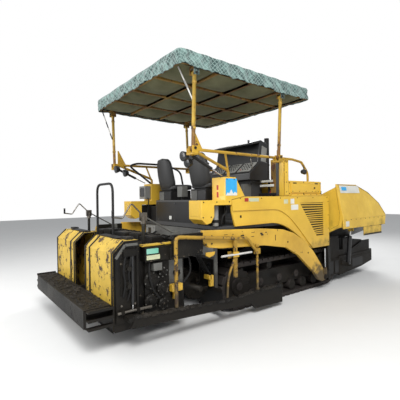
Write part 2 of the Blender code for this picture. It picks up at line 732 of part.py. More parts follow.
def build_support(side, sign):
    """The guard rail, its struts and the two brackets that carry the canopy posts."""
    rail_y = sign * (HALF - 0.03)
    foot_y = sign * POST_FOOT_Y
    hood_y = sign * (HOOD_HALF - 0.08)
    rail = tube("canopy_support_" + side,
                [(REAR_PIVOT_X + 0.02, rail_y, RAIL_Z), (PEDESTAL_X + 0.25, rail_y, RAIL_Z),
                 (PEDESTAL_X + 0.62, (rail_y + hood_y) / 2, RAIL_Z - 0.02),
                 (PEDESTAL_X + 0.92, hood_y, HOOD_TOP_Z + 0.16),
                 (PEDESTAL_X + 0.92, hood_y, HOOD_TOP_Z + SEAT)], RAIL_RADIUS, "yellow", 0.16)
    strut = tube("strut", [(REAR_PIVOT_X + 0.03, rail_y, RAIL_Z),
                           (TRACTOR_REAR_X + 0.20, sign * (HALF - 0.08), BOX_TOP_Z + 0.10),
                           (TRACTOR_REAR_X + 0.20, sign * (HALF - 0.08), BOX_TOP_Z + SEAT)],
                 RAIL_RADIUS, "yellow", 0.06)
    stay = rod("stay", (TRACTOR_REAR_X + 0.10, rail_y, RAIL_Z),
               (TRACTOR_REAR_X + 0.20, sign * (HALF - 0.08), BOX_TOP_Z + 0.06),
               0.016, "yellow", 10)
    pieces = [strut, stay, pedestal(sign)]
    for x in (REAR_PIVOT_X, FRONT_PIVOT_X):
        pieces.append(box("bridge", (x - 0.045, x + 0.045),
                          (rail_y, foot_y + sign * (EYE_WIDTH / 2 + CHEEK)),
                          (RAIL_Z - 0.085, RAIL_Z - 0.06)))
        pieces.append(box("web", (x - 0.045, x + 0.045), (rail_y - 0.012, rail_y + 0.012),
                          (RAIL_Z - 0.085, RAIL_Z)))
        pieces += cheeks("cheek", x, foot_y, PIVOT_Z, 0.065, 0.03)
    return fuse(rail, *pieces)


def build_post(name, x, sign):
    """One canopy post, with an eye at its foot and another under the roof."""
    foot = (x, sign * POST_FOOT_Y, PIVOT_Z)
    top = (x, sign * POST_TOP_Y, TOP_PIVOT_Z)
    post = rod(name, foot, top, POST_RADIUS, "yellow", 14)
    eyes = []
    for x_eye, y_eye, z_eye in (foot, top):
        eyes.append(rod("eye", (x_eye, y_eye - EYE_WIDTH / 2, z_eye),
                        (x_eye, y_eye + EYE_WIDTH / 2, z_eye), EYE_RADIUS, "yellow", 18))
    return fuse(post, *eyes)


CANOPY_REAR_X = REAR_PIVOT_X - CANOPY_OVERHANG_REAR
CANOPY_FRONT_X = FRONT_PIVOT_X + CANOPY_OVERHANG_FRONT


def build_canopy_frame():
    """The roof's bars: a rectangle with a lattice, and lugs for the four posts."""
    wall = COVER_WALL + SEAT
    xs = (CANOPY_REAR_X + wall, CANOPY_FRONT_X - wall)
    half = HALF_CANOPY - wall
    zs = (CANOPY_BASE_Z + 0.012, CANOPY_BASE_Z + 0.012 + CANOPY_BAR)
    frame = box("canopy_frame", xs, (half - CANOPY_BAR, half), zs, "ochre")
    pieces = [box("bar", xs, (-half, -half + CANOPY_BAR), zs, "ochre")]
    for x in (xs[0], xs[1] - CANOPY_BAR):
        pieces.append(box("bar", (x, x + CANOPY_BAR), (-half + 0.01, half - 0.01), zs))
    for index in range(CANOPY_BARS_ACROSS):
        x = xs[0] + (xs[1] - xs[0]) * (index + 1) / (CANOPY_BARS_ACROSS + 1)
        pieces.append(box("bar", (x - 0.02, x + 0.02), (-half + 0.01, half - 0.01),
                          (zs[0] + 0.004, zs[1] - 0.004)))
    for index in range(CANOPY_BARS_ALONG):
        y = -half + 2 * half * (index + 1) / (CANOPY_BARS_ALONG + 1)
        pieces.append(box("bar", (xs[0] + 0.01, xs[1] - 0.01), (y - 0.02, y + 0.02),
                          (zs[0] + 0.007, zs[1] - 0.007)))
    for x in (REAR_PIVOT_X, FRONT_PIVOT_X):
        for _, sign in SIDES:
            y = sign * POST_TOP_Y
            for edge in (-1, 1):
                near = y + edge * (EYE_WIDTH / 2 + SEAT)
                pieces.append(box("lug", (x - 0.05, x + 0.05), (near, near + edge * CHEEK),
                                  (TOP_PIVOT_Z - 0.03, zs[0] + 0.02)))
            inner = POST_TOP_Y - EYE_WIDTH / 2 - CHEEK
            outer = max(POST_TOP_Y + EYE_WIDTH / 2 + CHEEK, half - 0.02)
            pieces.append(box("saddle", (x - 0.05, x + 0.05), (sign * inner, sign * outer),
                              (TOP_PIVOT_Z + EYE_RADIUS + 0.006, zs[1] - 0.01)))
    return fuse(frame, *pieces)


def build_canopy_lining():
    """The sheet that lies on the lattice, under the net."""
    wall = COVER_WALL + 0.006
    z = CANOPY_BASE_Z + 0.012 + CANOPY_BAR + SEAT
    return box("canopy_lining", (CANOPY_REAR_X + wall, CANOPY_FRONT_X - wall),
               (-HALF_CANOPY + wall, HALF_CANOPY - wall), (z, z + 0.008), "lining")


def build_canopy_net():
    """The net cover: a shallow tray turned over the roof frame."""
    net = box("canopy_net", (CANOPY_REAR_X, CANOPY_FRONT_X), (-HALF_CANOPY, HALF_CANOPY),
              (CANOPY_BASE_Z, CANOPY_TOP_Z), "net")
    hollow = box("hollow", (CANOPY_REAR_X + COVER_WALL, CANOPY_FRONT_X - COVER_WALL),
                 (-HALF_CANOPY + COVER_WALL, HALF_CANOPY - COVER_WALL),
                 (0, CANOPY_TOP_Z - COVER_WALL))
    return cut(net, hollow)


# ============================================================================================
# hopper
# ============================================================================================

HOPPER_REAR_X = FRAME_FRONT_X
HINGE_Y = HALF_FRAME - 0.04
HOPPER_FLOOR_Z = FRAME_BOTTOM_Z + 0.12
LUG_FRONT_X = HOPPER_REAR_X + 0.034
WING_REAR_X = LUG_FRONT_X + RUNNING
WING_CYLINDER_X = HOPPER_REAR_X + 0.62
CYLINDER_FOOT = (HALF + 0.01, 0.36)
CYLINDER_EYE = (HALF + 0.06, 1.03)


SIDE_BEAM_REAR_X = TRACK_FRONT_X + 0.07


def hopper_beam(sign):
    """The low side beam under the hopper, with the foot bracket of the wing's cylinder."""
    front = HOPPER_FRONT_X + 0.06
    outline = [(SIDE_BEAM_REAR_X, 0.12), (SIDE_BEAM_REAR_X, 0.50), (front, 0.50),
               (front, 0.26), (front - 0.5, 0.18)]
    outer = HALF - 0.10
    pieces = [plate("beam", "xz", outline, sign * (outer - 0.06), sign * outer)]
    for x in (SIDE_BEAM_REAR_X + 0.22, front - 0.40):
        pieces.append(box("cross", (x, x + 0.14),
                          (sign * (HALF_FRAME - 0.01), sign * (outer - 0.03)), (0.425, 0.49)))
    for edge in (-1, 1):
        x = WING_CYLINDER_X + edge * (EYE_WIDTH / 2 + SEAT)
        pieces.append(box("foot", (x, x + edge * CHEEK),
                          (sign * (CYLINDER_FOOT[0] + 0.035), sign * (outer - 0.03)),
                          (CYLINDER_FOOT[1] - 0.06, CYLINDER_FOOT[1] + 0.022)))
    return pieces


def build_hopper_base():
    """The fixed middle of the hopper: floor, sills, rear wall and front lip."""
    xs = (HOPPER_REAR_X + SEAT, HOPPER_FRONT_X - 0.10)
    floor = box("hopper_base", xs, (-HALF_FRAME, HALF_FRAME),
                (HOPPER_FLOOR_Z, HOPPER_FLOOR_Z + 0.04))
    pieces = [
        box("rear_wall", (HOPPER_REAR_X + SEAT, HOPPER_REAR_X + PLATE),
            (-HALF_FRAME - 0.30, HALF_FRAME + 0.30), (0.86, SIDE_TOP_Z + 0.10)),
        box("front_lip", (xs[1] - 0.04, xs[1]), (-HALF_FRAME, HALF_FRAME),
            (HOPPER_FLOOR_Z + 0.01, HOPPER_FLOOR_Z + 0.20)),
    ]
    for _, sign in SIDES:
        pieces.append(box("sill", xs, (sign * (HALF_FRAME - 0.06), sign * HALF_FRAME),
                          (HOPPER_FLOOR_Z + 0.01, WING_HINGE_Z - 0.03)))
        for x in (HOPPER_REAR_X + 0.004, xs[1] - 0.034):
            pieces.append(box("lug", (x, x + 0.03 - SEAT),
                              (sign * (HINGE_Y - 0.035), sign * (HINGE_Y + 0.035)),
                              (WING_HINGE_Z - 0.10, WING_HINGE_Z + 0.03)))
        pieces.append(box("post", (HOPPER_REAR_X + SEAT, HOPPER_REAR_X + PLATE),
                          (sign * (HALF_FRAME - 0.06), sign * HALF_FRAME),
                          (WING_HINGE_Z - 0.05, 0.90)))
        pieces += hopper_beam(sign)
    return fuse(floor, *pieces)


def wing_plate_points(sign):
    """The wing in cross-section: sloping floor, folded strip, crease and leaning side."""
    return [
        (sign * HINGE_Y, WING_HINGE_Z - 0.012), (sign * (HALF_WING - 0.075), 1.12),
        (sign * (HALF_WING - 0.055), 1.12), (sign * (HALF_WING - 0.02), CREASE_Z - 0.03),
        (sign * (HALF_WING - 0.02), 1.10), (sign * HALF_WING, 1.10),
        (sign * HALF_WING, CREASE_Z), (sign * (HALF_WING - 0.14), 1.95),
        (sign * (HALF_WING - 0.16), 1.95), (sign * (HALF_WING - 0.07), 1.35),
        (sign * (HALF_WING - 0.10), 1.17), (sign * HINGE_Y, WING_HINGE_Z + 0.016),
    ]


def build_wing(side, sign):
    """One folding hopper wing: floor, outer wall, rear wall and folded lower strip."""
    rear = WING_REAR_X
    front = HOPPER_FRONT_X
    pin_end = HOPPER_FRONT_X - 0.134 - SEAT
    wing = plate("hopper_wing_" + side, "yz", wing_plate_points(sign), rear, front, "yellow")
    strip_low = plate("strip", "yz", [(sign * (HALF_WING - 0.018), 0.92),
                                      (sign * (HALF_WING - 0.002), 0.92),
                                      (sign * (HALF_WING - 0.002), 1.12),
                                      (sign * (HALF_WING - 0.018), 1.12)],
                      front - 0.98, front - 0.20, "yellow")
    wall = plate("wall", "yz", [(sign * (HINGE_Y + 0.02), WING_HINGE_Z + 0.01),
                                (sign * (HALF_WING - 0.085), 1.145),
                                (sign * (HALF_WING - 0.06), 1.34),
                                (sign * (HALF_WING - 0.142), 1.90),
                                (sign * (HINGE_Y + 0.30), 1.75)], rear + 0.002, rear + SKIN)
    pin = rod("pin", (LUG_FRONT_X, sign * HINGE_Y, WING_HINGE_Z),
              (pin_end, sign * HINGE_Y, WING_HINGE_Z), 0.022, "black_steel", 16)
    fuse(wing, strip_low, wall, pin)
    nose = [(front - 1.05, 2.2), (front - 1.00, 1.935), (front - 0.60, 1.80),
            (front - 0.20, 1.57), (front - 0.005, CREASE_Z + 0.03), (front + 0.01, CREASE_Z),
            (front - 0.06, 1.02), (front - 0.17, 0.90), (front - 0.13, 0.5), (front + 0.4, 0.5),
            (front + 0.4, 2.2)]
    trim = plate("nose_cutter", "xz", nose, sign * (HALF_WING - 0.30), sign * (HALF_WING + 0.2))
    lug_ys = (CYLINDER_EYE[0] - 0.02, CYLINDER_EYE[0] + 0.05)
    for edge in (-1, 1):
        x = WING_CYLINDER_X + edge * (EYE_WIDTH / 2 + 0.006)
        lug = box("lug", (x, x + edge * CHEEK), (sign * lug_ys[0], sign * lug_ys[1]),
                  (CYLINDER_EYE[1] - 0.02, 1.14))
        fuse(wing, lug)
    notch = box("notch", (pin_end - RUNNING, front + 0.1),
                (sign * (HINGE_Y - 0.05), sign * (HINGE_Y + 0.05)),
                (WING_HINGE_Z - 0.1, WING_HINGE_Z + 0.1))
    pin_stub = rod("stub", (pin_end - 0.05, sign * HINGE_Y, WING_HINGE_Z),
                   (pin_end, sign * HINGE_Y, WING_HINGE_Z), 0.021, "black_steel", 16)
    cut(wing, trim, notch)
    return fuse(wing, pin_stub)


def build_wing_barrel(side, sign):
    """The barrel of a wing's cylinder, hung on its foot eye."""
    foot, axis, length = cylinder_line(sign)
    start = foot + axis * 0.034
    end = foot + axis * (length - 0.12)
    barrel = rod("wing_cylinder_" + side, start, end, 0.042, "black_steel", 18)
    eye = rod("eye", foot - Vector((EYE_WIDTH / 2, 0, 0)), foot + Vector((EYE_WIDTH / 2, 0, 0)),
              0.04, "black_steel", 16)
    fuse(barrel, eye)
    bore = rod("bore", foot + axis * 0.07, foot + axis * length, 0.020 + BORE_GAP, segments=16)
    return cut(barrel, bore)


def cylinder_line(sign):
    """The foot, direction and length of a wing cylinder at rest."""
    foot = Vector((WING_CYLINDER_X, sign * CYLINDER_FOOT[0], CYLINDER_FOOT[1]))
    eye = Vector((WING_CYLINDER_X, sign * CYLINDER_EYE[0], CYLINDER_EYE[1]))
    return foot, (eye - foot).normalized(), (eye - foot).length


def build_wing_rod(side, sign):
    """The rod of a wing's cylinder, with the eye that meets the wing."""
    foot, axis, length = cylinder_line(sign)
    shaft = rod("wing_rod_" + side, foot + axis * 0.08, foot + axis * (length - 0.01), 0.020,
                "chrome", 16)
    tip = foot + axis * length
    eye = rod("eye", tip - Vector((EYE_WIDTH / 2, 0, 0)), tip + Vector((EYE_WIDTH / 2, 0, 0)),
              0.030, "black_steel", 16)
    return fuse(shaft, eye)


ROLLER_RADIUS = 0.085
ROLLER_X = FRONT_X - ROLLER_RADIUS
ROLLER_Z = 0.44
PUSH_BEAM_HALF = HALF - 0.17


def build_push_beam():
    """The cross beam in front of the hopper, with brackets for the two push rollers."""
    rear = HOPPER_FRONT_X - 0.10 + SEAT
    front = ROLLER_X - ROLLER_RADIUS - 0.02
    beam = box("push_beam", (rear, front), (-PUSH_BEAM_HALF, PUSH_BEAM_HALF),
               (ROLLER_Z - 0.11, ROLLER_Z + 0.11))
    pieces = []
    for y in (-PUSH_BEAM_HALF, -0.02, PUSH_BEAM_HALF - 0.04):
        pieces.append(box("bracket", (front - 0.02, ROLLER_X + 0.04), (y, y + 0.04),
                          (ROLLER_Z - 0.06, ROLLER_Z + 0.06)))
    return fuse(beam, *pieces)


def build_push_roller(side, sign):
    """One push roller with its stub pins."""
    inner = 0.02 + SEAT
    outer = PUSH_BEAM_HALF - 0.04 - SEAT
    pin = rod("push_roller_" + side, (ROLLER_X, sign * inner, ROLLER_Z),
              (ROLLER_X, sign * outer, ROLLER_Z), 0.03, "grey_steel", 14)
    drum = rod("drum", (ROLLER_X, sign * (inner + 0.025), ROLLER_Z),
               (ROLLER_X, sign * (outer - 0.025), ROLLER_Z), ROLLER_RADIUS, "grey_steel", 24)
    return fuse(pin, drum)


# ============================================================================================
# augers
# ============================================================================================

AUGER_X = TRACTOR_REAR_X - 0.29
AUGER_Z = 0.46
AUGER_RADIUS = 0.17
AUGER_SHAFT = 0.04
AUGER_INNER_Y = 0.11
AUGER_OUTER_Y = HALF - 0.14
AUGER_TURNS = 3
FLIGHT_THICKNESS = 0.014


def build_auger_gearbox():
    """The drive case hung between the two augers."""
    case = box("auger_gearbox", (AUGER_X - 0.09, AUGER_X + 0.09),
               (-AUGER_INNER_Y + SEAT, AUGER_INNER_Y - SEAT), (AUGER_Z - 0.12, AUGER_Z + 0.52))
    arm = box("arm", (AUGER_X, TRACTOR_REAR_X - SEAT), (-0.08, 0.08),
              (AUGER_Z + 0.38, AUGER_Z + 0.50))
    return fuse(case, arm)


def build_auger(side, sign):
    """One auger: a shaft with a helical flight, handed to its side."""
    shaft = rod("auger_" + side, (AUGER_X, sign * AUGER_INNER_Y, AUGER_Z),
                (AUGER_X, sign * AUGER_OUTER_Y, AUGER_Z), AUGER_SHAFT, "grey_steel", 16)
    run = AUGER_OUTER_Y - AUGER_INNER_Y - 0.10
    mesh = bpy.data.meshes.new("flight")
    mesh.from_pydata([(AUGER_SHAFT - 0.012, 0, 0), (AUGER_RADIUS, 0, 0)], [(0, 1)], [])
    flight = add("flight", mesh, "grey_steel")
    flight.location = (AUGER_X, sign * (AUGER_INNER_Y + 0.05), AUGER_Z)
    flight.rotation_euler = (-sign * pi / 2, 0, 0)
    turn = flight.modifiers.new("turn", "SCREW")
    turn.axis = "Z"
    turn.angle = 2 * pi
    turn.iterations = AUGER_TURNS
    turn.screw_offset = run / AUGER_TURNS
    turn.steps = 14
    turn.render_steps = 14
    turn.merge_threshold = 0.0001
    wall = flight.modifiers.new("wall", "SOLIDIFY")
    wall.thickness = FLIGHT_THICKNESS
    wall.offset = 0
    return fuse(shaft, flight)


# ============================================================================================
# screed and tow arms
# ============================================================================================

ARM_INNER_Y = HALF + 0.015
ARM_OUTER_Y = ARM_INNER_Y + ARM_THICKNESS
ARM_REAR_X = TRACTOR_REAR_X - 0.405
TOW_PIN_X = HOOD_FRONT_X - 0.27
TOW_PIN_Z = 0.24
MAIN_REAR_X = SCREED_FRONT_X - MAIN_SHARE * SCREED_DEPTH
EXTENSION_FRONT_X = MAIN_REAR_X - 0.035


def build_tow_arm(side, sign):
    """One tow arm: straight along the body, then curved down to the tow point."""
    rear = ARM_REAR_X
    tip = TOW_PIN_X
    outline = [(rear, 1.14), (rear, 1.285), (rear + 0.75, 1.255), (rear + 1.18, 1.235), (rear + 1.66, 1.19),
               (rear + 1.93, 1.115), (rear + 2.20, 0.975), (rear + 2.49, 0.755),
               (tip - 0.10, 0.45), (tip + 0.045, 0.28), (tip + 0.03, 0.185), (tip - 0.10, 0.17),
               (tip - 0.22, 0.22), (tip - 0.34, 0.36), (rear + 2.34, 0.50),
               (rear + 2.05, 0.73), (rear + 1.73, 0.89), (rear + 1.20, 0.975),
               (rear + 0.30, 1.02), (rear + 0.10, 1.05)]
    return plate("tow_arm_" + side, "xz", outline, sign * ARM_INNER_Y, sign * ARM_OUTER_Y,
                 "yellow")


def arm_bracket(sign):
    """The pieces that bolt a tow arm's rear end to one end of the screed."""
    foot = box("foot", (SCREED_FRONT_X - 0.30, SCREED_FRONT_X - 0.02),
               (sign * (HALF_SCREED - 0.01), sign * (ARM_INNER_Y + 0.01)),
               (0.95, SCREED_TOP_Z - 0.13))
    cheek = box("cheek", (SCREED_FRONT_X - 0.28, ARM_REAR_X - SEAT),
                (sign * ARM_INNER_Y, sign * ARM_OUTER_Y), (0.98, SCREED_TOP_Z + 0.03))
    return [foot, cheek]


def build_tow_block(side, sign):
    """The sliding block that holds a tow arm's tip, on its levelling rod."""
    x = HOOD_FRONT_X - LEVELLING_SETBACK
    y = sign * LEVELLING_Y
    block = box("tow_block_" + side, (TOW_PIN_X - 0.05, HOOD_FRONT_X - 0.035 - SEAT),
                (sign * (HALF - 0.10), sign * (ARM_INNER_Y - SEAT)),
                (TOW_PIN_Z - 0.06, TOW_PIN_Z + 0.07))
    shaft = rod("shaft", (x, y, TOW_PIN_Z), (x, y, COVER_LOW_Z - 0.05),
                LEVELLING_ROD_RADIUS, "chrome", 14)
    return fuse(block, shaft)


def build_screed_frame():
    """The main screed: sole plate, front and rear plates, ends and the top deck."""
    xs = (MAIN_REAR_X, SCREED_FRONT_X)
    sole = box("screed_frame", xs, (-HALF_SCREED, HALF_SCREED),
               (SCREED_BASE_Z, SCREED_BASE_Z + 0.04), "grey_steel")
    top_z = SCREED_TOP_Z - 0.09
    pieces = [
        box("front", (xs[1] - 0.025, xs[1]), (-HALF_SCREED, HALF_SCREED),
            (SCREED_BASE_Z + 0.01, top_z)),
        box("rear", (xs[0], xs[0] + 0.025), (-HALF_SCREED, HALF_SCREED),
            (SCREED_BASE_Z + 0.01, top_z)),
        box("deck", xs, (-HALF_SCREED, HALF_SCREED), (top_z - 0.03, top_z)),
    ]
    for y in (-HALF_SCREED, -0.40, 0.37, HALF_SCREED - 0.03):
        pieces.append(box("rib", (xs[0] + 0.01, xs[1] - 0.01), (y, y + 0.03),
                          (SCREED_BASE_Z + 0.01, top_z - 0.01)))
    for z in (0.34, 0.98):
        pieces.append(box("rail", (EXTENSION_FRONT_X + SEAT, xs[0] + 0.01),
                          (-HALF_SCREED + 0.01, HALF_SCREED - 0.01), (z, z + 0.08)))
    for _, sign in SIDES:
        pieces += arm_bracket(sign)
    fuse(sole, *pieces)
    windows = []
    for y in (-0.385, 0.385):
        windows.append(box("window", (xs[0] + 0.12, xs[1] - 0.12), (y - 0.2, y + 0.2),
                           (SCREED_BASE_Z + 0.25, SCREED_BASE_Z + 0.60)))
    for y in (-HALF_SCREED, HALF_SCREED):
        windows.append(box("window", (xs[0] + 0.12, xs[1] - 0.12), (y - 0.2, y + 0.2),
                           (SCREED_BASE_Z + 0.25, SCREED_BASE_Z + 0.60)))
    return cut(sole, *windows)


WALKWAY_HALF = 1.10


def build_walkway():
    """The rear walkway, carried by two arms through the gap between the extensions."""
    front = SCREED_REAR_X - 0.012
    deck = box("screed_walkway", (REAR_X, front), (-WALKWAY_HALF, WALKWAY_HALF),
               (WALKWAY_Z - 0.02, WALKWAY_Z), "grey_steel")
    pieces = [box("fascia", (REAR_X, REAR_X + 0.02), (-WALKWAY_HALF, WALKWAY_HALF),
                  (WALKWAY_Z - 0.21, WALKWAY_Z - 0.005)),
              box("front_lip", (front - 0.02, front), (-WALKWAY_HALF, WALKWAY_HALF),
                  (WALKWAY_Z - 0.12, WALKWAY_Z - 0.005))]
    for y in (-0.14, 0.10):
        pieces.append(box("arm", (front - 0.03, EXTENSION_FRONT_X), (y, y + 0.04),
                          (WALKWAY_Z - 0.12, WALKWAY_Z - 0.03)))
    for y in (-WALKWAY_HALF, WALKWAY_HALF - 0.02):
        pieces.append(box("end", (REAR_X + 0.01, front - 0.01), (y, y + 0.02),
                          (WALKWAY_Z - 0.12, WALKWAY_Z - 0.01)))
    return fuse(deck, *pieces)


EXTENSION_INNER_Y = 0.22
EXTENSION_KINK_Z = 1.14


def build_extension(side, sign):
    """One extending screed: a shell with a sloped top, open towards the middle."""
    top = SCREED_TOP_Z
    outline = [(SCREED_REAR_X, SCREED_BASE_Z + 0.02), (SCREED_REAR_X, EXTENSION_KINK_Z - 0.04),
               (SCREED_REAR_X + 0.14, top), (EXTENSION_FRONT_X, top),
               (EXTENSION_FRONT_X, SCREED_BASE_Z), (SCREED_REAR_X + 0.02, SCREED_BASE_Z)]
    inner = [(SCREED_REAR_X + SKIN, SCREED_BASE_Z + 0.05),
             (SCREED_REAR_X + SKIN, EXTENSION_KINK_Z - 0.05), (SCREED_REAR_X + 0.15, top - SKIN),
             (EXTENSION_FRONT_X - SKIN, top - SKIN), (EXTENSION_FRONT_X - SKIN,
                                                      SCREED_BASE_Z + 0.05)]
    shell = plate("screed_extension_" + side, "xz", outline, sign * EXTENSION_INNER_Y,
                  sign * (HALF_SCREED + 0.06), "yellow")
    hollow = plate("hollow", "xz", inner, sign * (EXTENSION_INNER_Y - 0.1),
                   sign * (HALF_SCREED + 0.03))
    return cut(shell, hollow)


GATE_Y = HALF_SCREED + 0.06 + SEAT
GATE_OUTER_Y = HALF + 0.14
BEAM_REAR_X = SCREED_REAR_X + 0.12
PLATE_FRONT_X = SCREED_FRONT_X + 1.71


def build_end_gate(side, sign):
    """The end plate of the screed with the long side beam that runs forward near the ground."""
    end = plate("end_gate_" + side, "xz",
                [(SCREED_REAR_X + 0.02, 0.30), (SCREED_REAR_X + 0.02, 1.08),
                 (SCREED_REAR_X + 0.16, 1.20), (EXTENSION_FRONT_X - 0.02, 1.20),
                 (EXTENSION_FRONT_X - 0.02, 0.30)],
                sign * GATE_Y, sign * (GATE_Y + 0.025), "black_steel")
    beam = plate("beam", "xz",
                 [(BEAM_REAR_X, 0.28), (BEAM_REAR_X + 0.06, 0.42), (SCREED_FRONT_X + 0.57, 0.31),
                  (PLATE_FRONT_X - 0.55, 0.34), (PLATE_FRONT_X, 0.34), (PLATE_FRONT_X, 0.06),
                  (PLATE_FRONT_X - 0.62, 0.085), (PLATE_FRONT_X - 0.70, 0.17)],
                 sign * (GATE_OUTER_Y - 0.04), sign * GATE_OUTER_Y, "black_steel")
    link = box("link", (BEAM_REAR_X + 0.10, BEAM_REAR_X + 0.16),
               (sign * (GATE_Y + 0.01), sign * (GATE_OUTER_Y - 0.02)), (0.31, 0.38))
    link_two = box("link", (EXTENSION_FRONT_X - 0.10, EXTENSION_FRONT_X - 0.04),
                   (sign * (GATE_Y + 0.01), sign * (GATE_OUTER_Y - 0.02)), (0.31, 0.37))
    return fuse(end, beam, link, link_two)


FRAME_POST_X = SCREED_FRONT_X - 0.28
SCREW_X = SCREED_FRONT_X + 1.16


def build_gate_frame(side, sign):
    """The yellow bow over the side beam, with the screw that sets the plate's height."""
    y = sign * (GATE_OUTER_Y - 0.02)
    bow = tube("gate_frame_" + side,
               [(FRAME_POST_X, y, 0.392), (FRAME_POST_X, y, 1.24),
                (SCREW_X - 0.20, y, 1.12), (SCREW_X, y, 0.90)], 0.024, "yellow", 0.06)
    screw = rod("screw", (SCREW_X, y, 0.98), (SCREW_X, y, 0.34 + SEAT), 0.017, "ochre", 12)
    knob = rod("knob", (SCREW_X, y, 0.98), (SCREW_X, y, 1.02), 0.03, "ochre", 12)
    foot = rod("foot", (SCREW_X, y, 0.34 + SEAT), (SCREW_X, y, 0.38), 0.028, "ochre", 12)
    return fuse(bow, screw, knob, foot)


def build_screed_handrail():
    """The hoop handrail that stands on the screed's deck."""
    x = MAIN_REAR_X + 0.03
    deck = SCREED_TOP_Z - 0.09 + SEAT
    return tube("screed_handrail", [(x, 0.33, deck), (x, 0.33, 1.94), (x, -0.26, 1.94),
                                    (x, -0.26, deck)], 0.018, "black_steel", 0.12)


def build_depth_crank(side, sign):
    """The post, cranked handle and long rod that set the screed's depth on one side."""
    x = MAIN_REAR_X + 0.12
    y = sign * (HALF_SCREED - 0.10)
    deck = SCREED_TOP_Z - 0.09 + SEAT
    post = rod("depth_crank_" + side, (x, y, deck), (x, y, 1.50), 0.022, "dark_grey", 12)
    head = box("head", (x - 0.04, x + 0.04), (y - 0.03, y + 0.03), (1.44, 1.54))
    handle = tube("handle", [(x, y, 1.50), (x - 0.16, y, 1.66), (x - 0.20, y, 1.60),
                             (x - 0.28, y, 1.48), (x - 0.40, y, 1.50)], 0.010, "dark_grey", 0.03)
    shaft = rod("shaft", (x, y, 1.50), (x + 0.46, y, deck + 0.10), 0.010, "dark_grey", 10)
    foot = box("foot", (x + 0.42, x + 0.50), (y - 0.03, y + 0.03), (deck, deck + 0.13))
    return fuse(post, head, handle, shaft, foot)


# ============================================================================================
# assembly
# ============================================================================================

def build_running_gear():
    """Both crawlers with the frames inside them."""
    for side, sign in SIDES:
        build_track(side, sign)
        build_track_frame(side, sign)


def build_tractor():
    """Frame, conveyor, bodywork and platform."""
    build_main_frame()
    build_conveyor()
    build_rear_panel()
    build_platform()
    build_engine()
    build_hood()
    build_hood_lid()
    build_exhaust()
    build_console()
    for side, sign in SIDES:
        build_side_cover(side, sign)
        build_hood_door(side, sign)
        build_rear_box(side, sign)
        build_seat(side, sign)


def build_canopy():
    """Rails, posts and the folding roof."""
    build_canopy_frame()
    build_canopy_lining()
    build_canopy_net()
    for side, sign in SIDES:
        build_support(side, sign)
        build_post("canopy_post_rear_" + side, REAR_PIVOT_X, sign)
        build_post("canopy_post_front_" + side, FRONT_PIVOT_X, sign)


def build_hopper():
    """Hopper, wings with their cylinders, and the push rollers."""
    build_hopper_base()
    build_push_beam()
    for side, sign in SIDES:
        build_wing(side, sign)
        build_wing_barrel(side, sign)
        build_wing_rod(side, sign)
        build_push_roller(side, sign)


def build_paving_end():
    """Augers, tow arms and the screed with its extensions."""
    build_auger_gearbox()
    build_screed_frame()
    build_walkway()
    build_screed_handrail()
    for side, sign in SIDES:
        build_auger(side, sign)
        build_tow_arm(side, sign)
        build_tow_block(side, sign)
        build_extension(side, sign)
        build_end_gate(side, sign)
        build_gate_frame(side, sign)
        build_depth_crank(side, sign)


build_running_gear()
build_tractor()
build_canopy()
build_hopper()
build_paving_end()
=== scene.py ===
"""The looks of a crawler asphalt paver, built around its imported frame.

Metres, +X forward to the hopper, +Y to the machine's left, +Z up. Each sub-assembly is a class that
holds its sizes, builds its meshes from numpy surfaces and dresses them.
"""

import logging
import math
from collections.abc import Callable, Sequence
from dataclasses import dataclass
from enum import Enum

import bmesh
import bpy
import numpy as np
from mathutils import Matrix, Vector


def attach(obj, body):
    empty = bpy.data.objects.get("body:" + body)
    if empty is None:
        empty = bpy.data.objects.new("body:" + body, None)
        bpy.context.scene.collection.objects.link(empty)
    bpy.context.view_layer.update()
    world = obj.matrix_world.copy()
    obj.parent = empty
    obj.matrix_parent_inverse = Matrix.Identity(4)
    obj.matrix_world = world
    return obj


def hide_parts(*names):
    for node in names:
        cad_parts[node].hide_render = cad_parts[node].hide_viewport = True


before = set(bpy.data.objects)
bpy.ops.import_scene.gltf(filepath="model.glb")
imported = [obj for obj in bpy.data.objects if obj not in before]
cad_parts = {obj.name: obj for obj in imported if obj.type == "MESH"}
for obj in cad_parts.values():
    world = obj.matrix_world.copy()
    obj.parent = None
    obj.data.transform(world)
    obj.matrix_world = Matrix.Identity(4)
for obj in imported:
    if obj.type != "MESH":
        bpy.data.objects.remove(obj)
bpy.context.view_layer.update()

LOG = logging.getLogger("paver")
RNG_SEED = 11
WELD = 2e-5
FLAT_ANGLE = math.radians(0.8)
CORNER_SHARE = 0.45

Colour = tuple[float, float, float]
Point = Sequence[float]


class Side(Enum):
    """The two sides of the machine, with the sign of their Y."""

    RIGHT = -1
    LEFT = 1

    @property
    def word(self) -> str:
        """The side's name in node and body names."""
        return self.name.lower()


# ============================================================================================
# shader node groups
# ============================================================================================


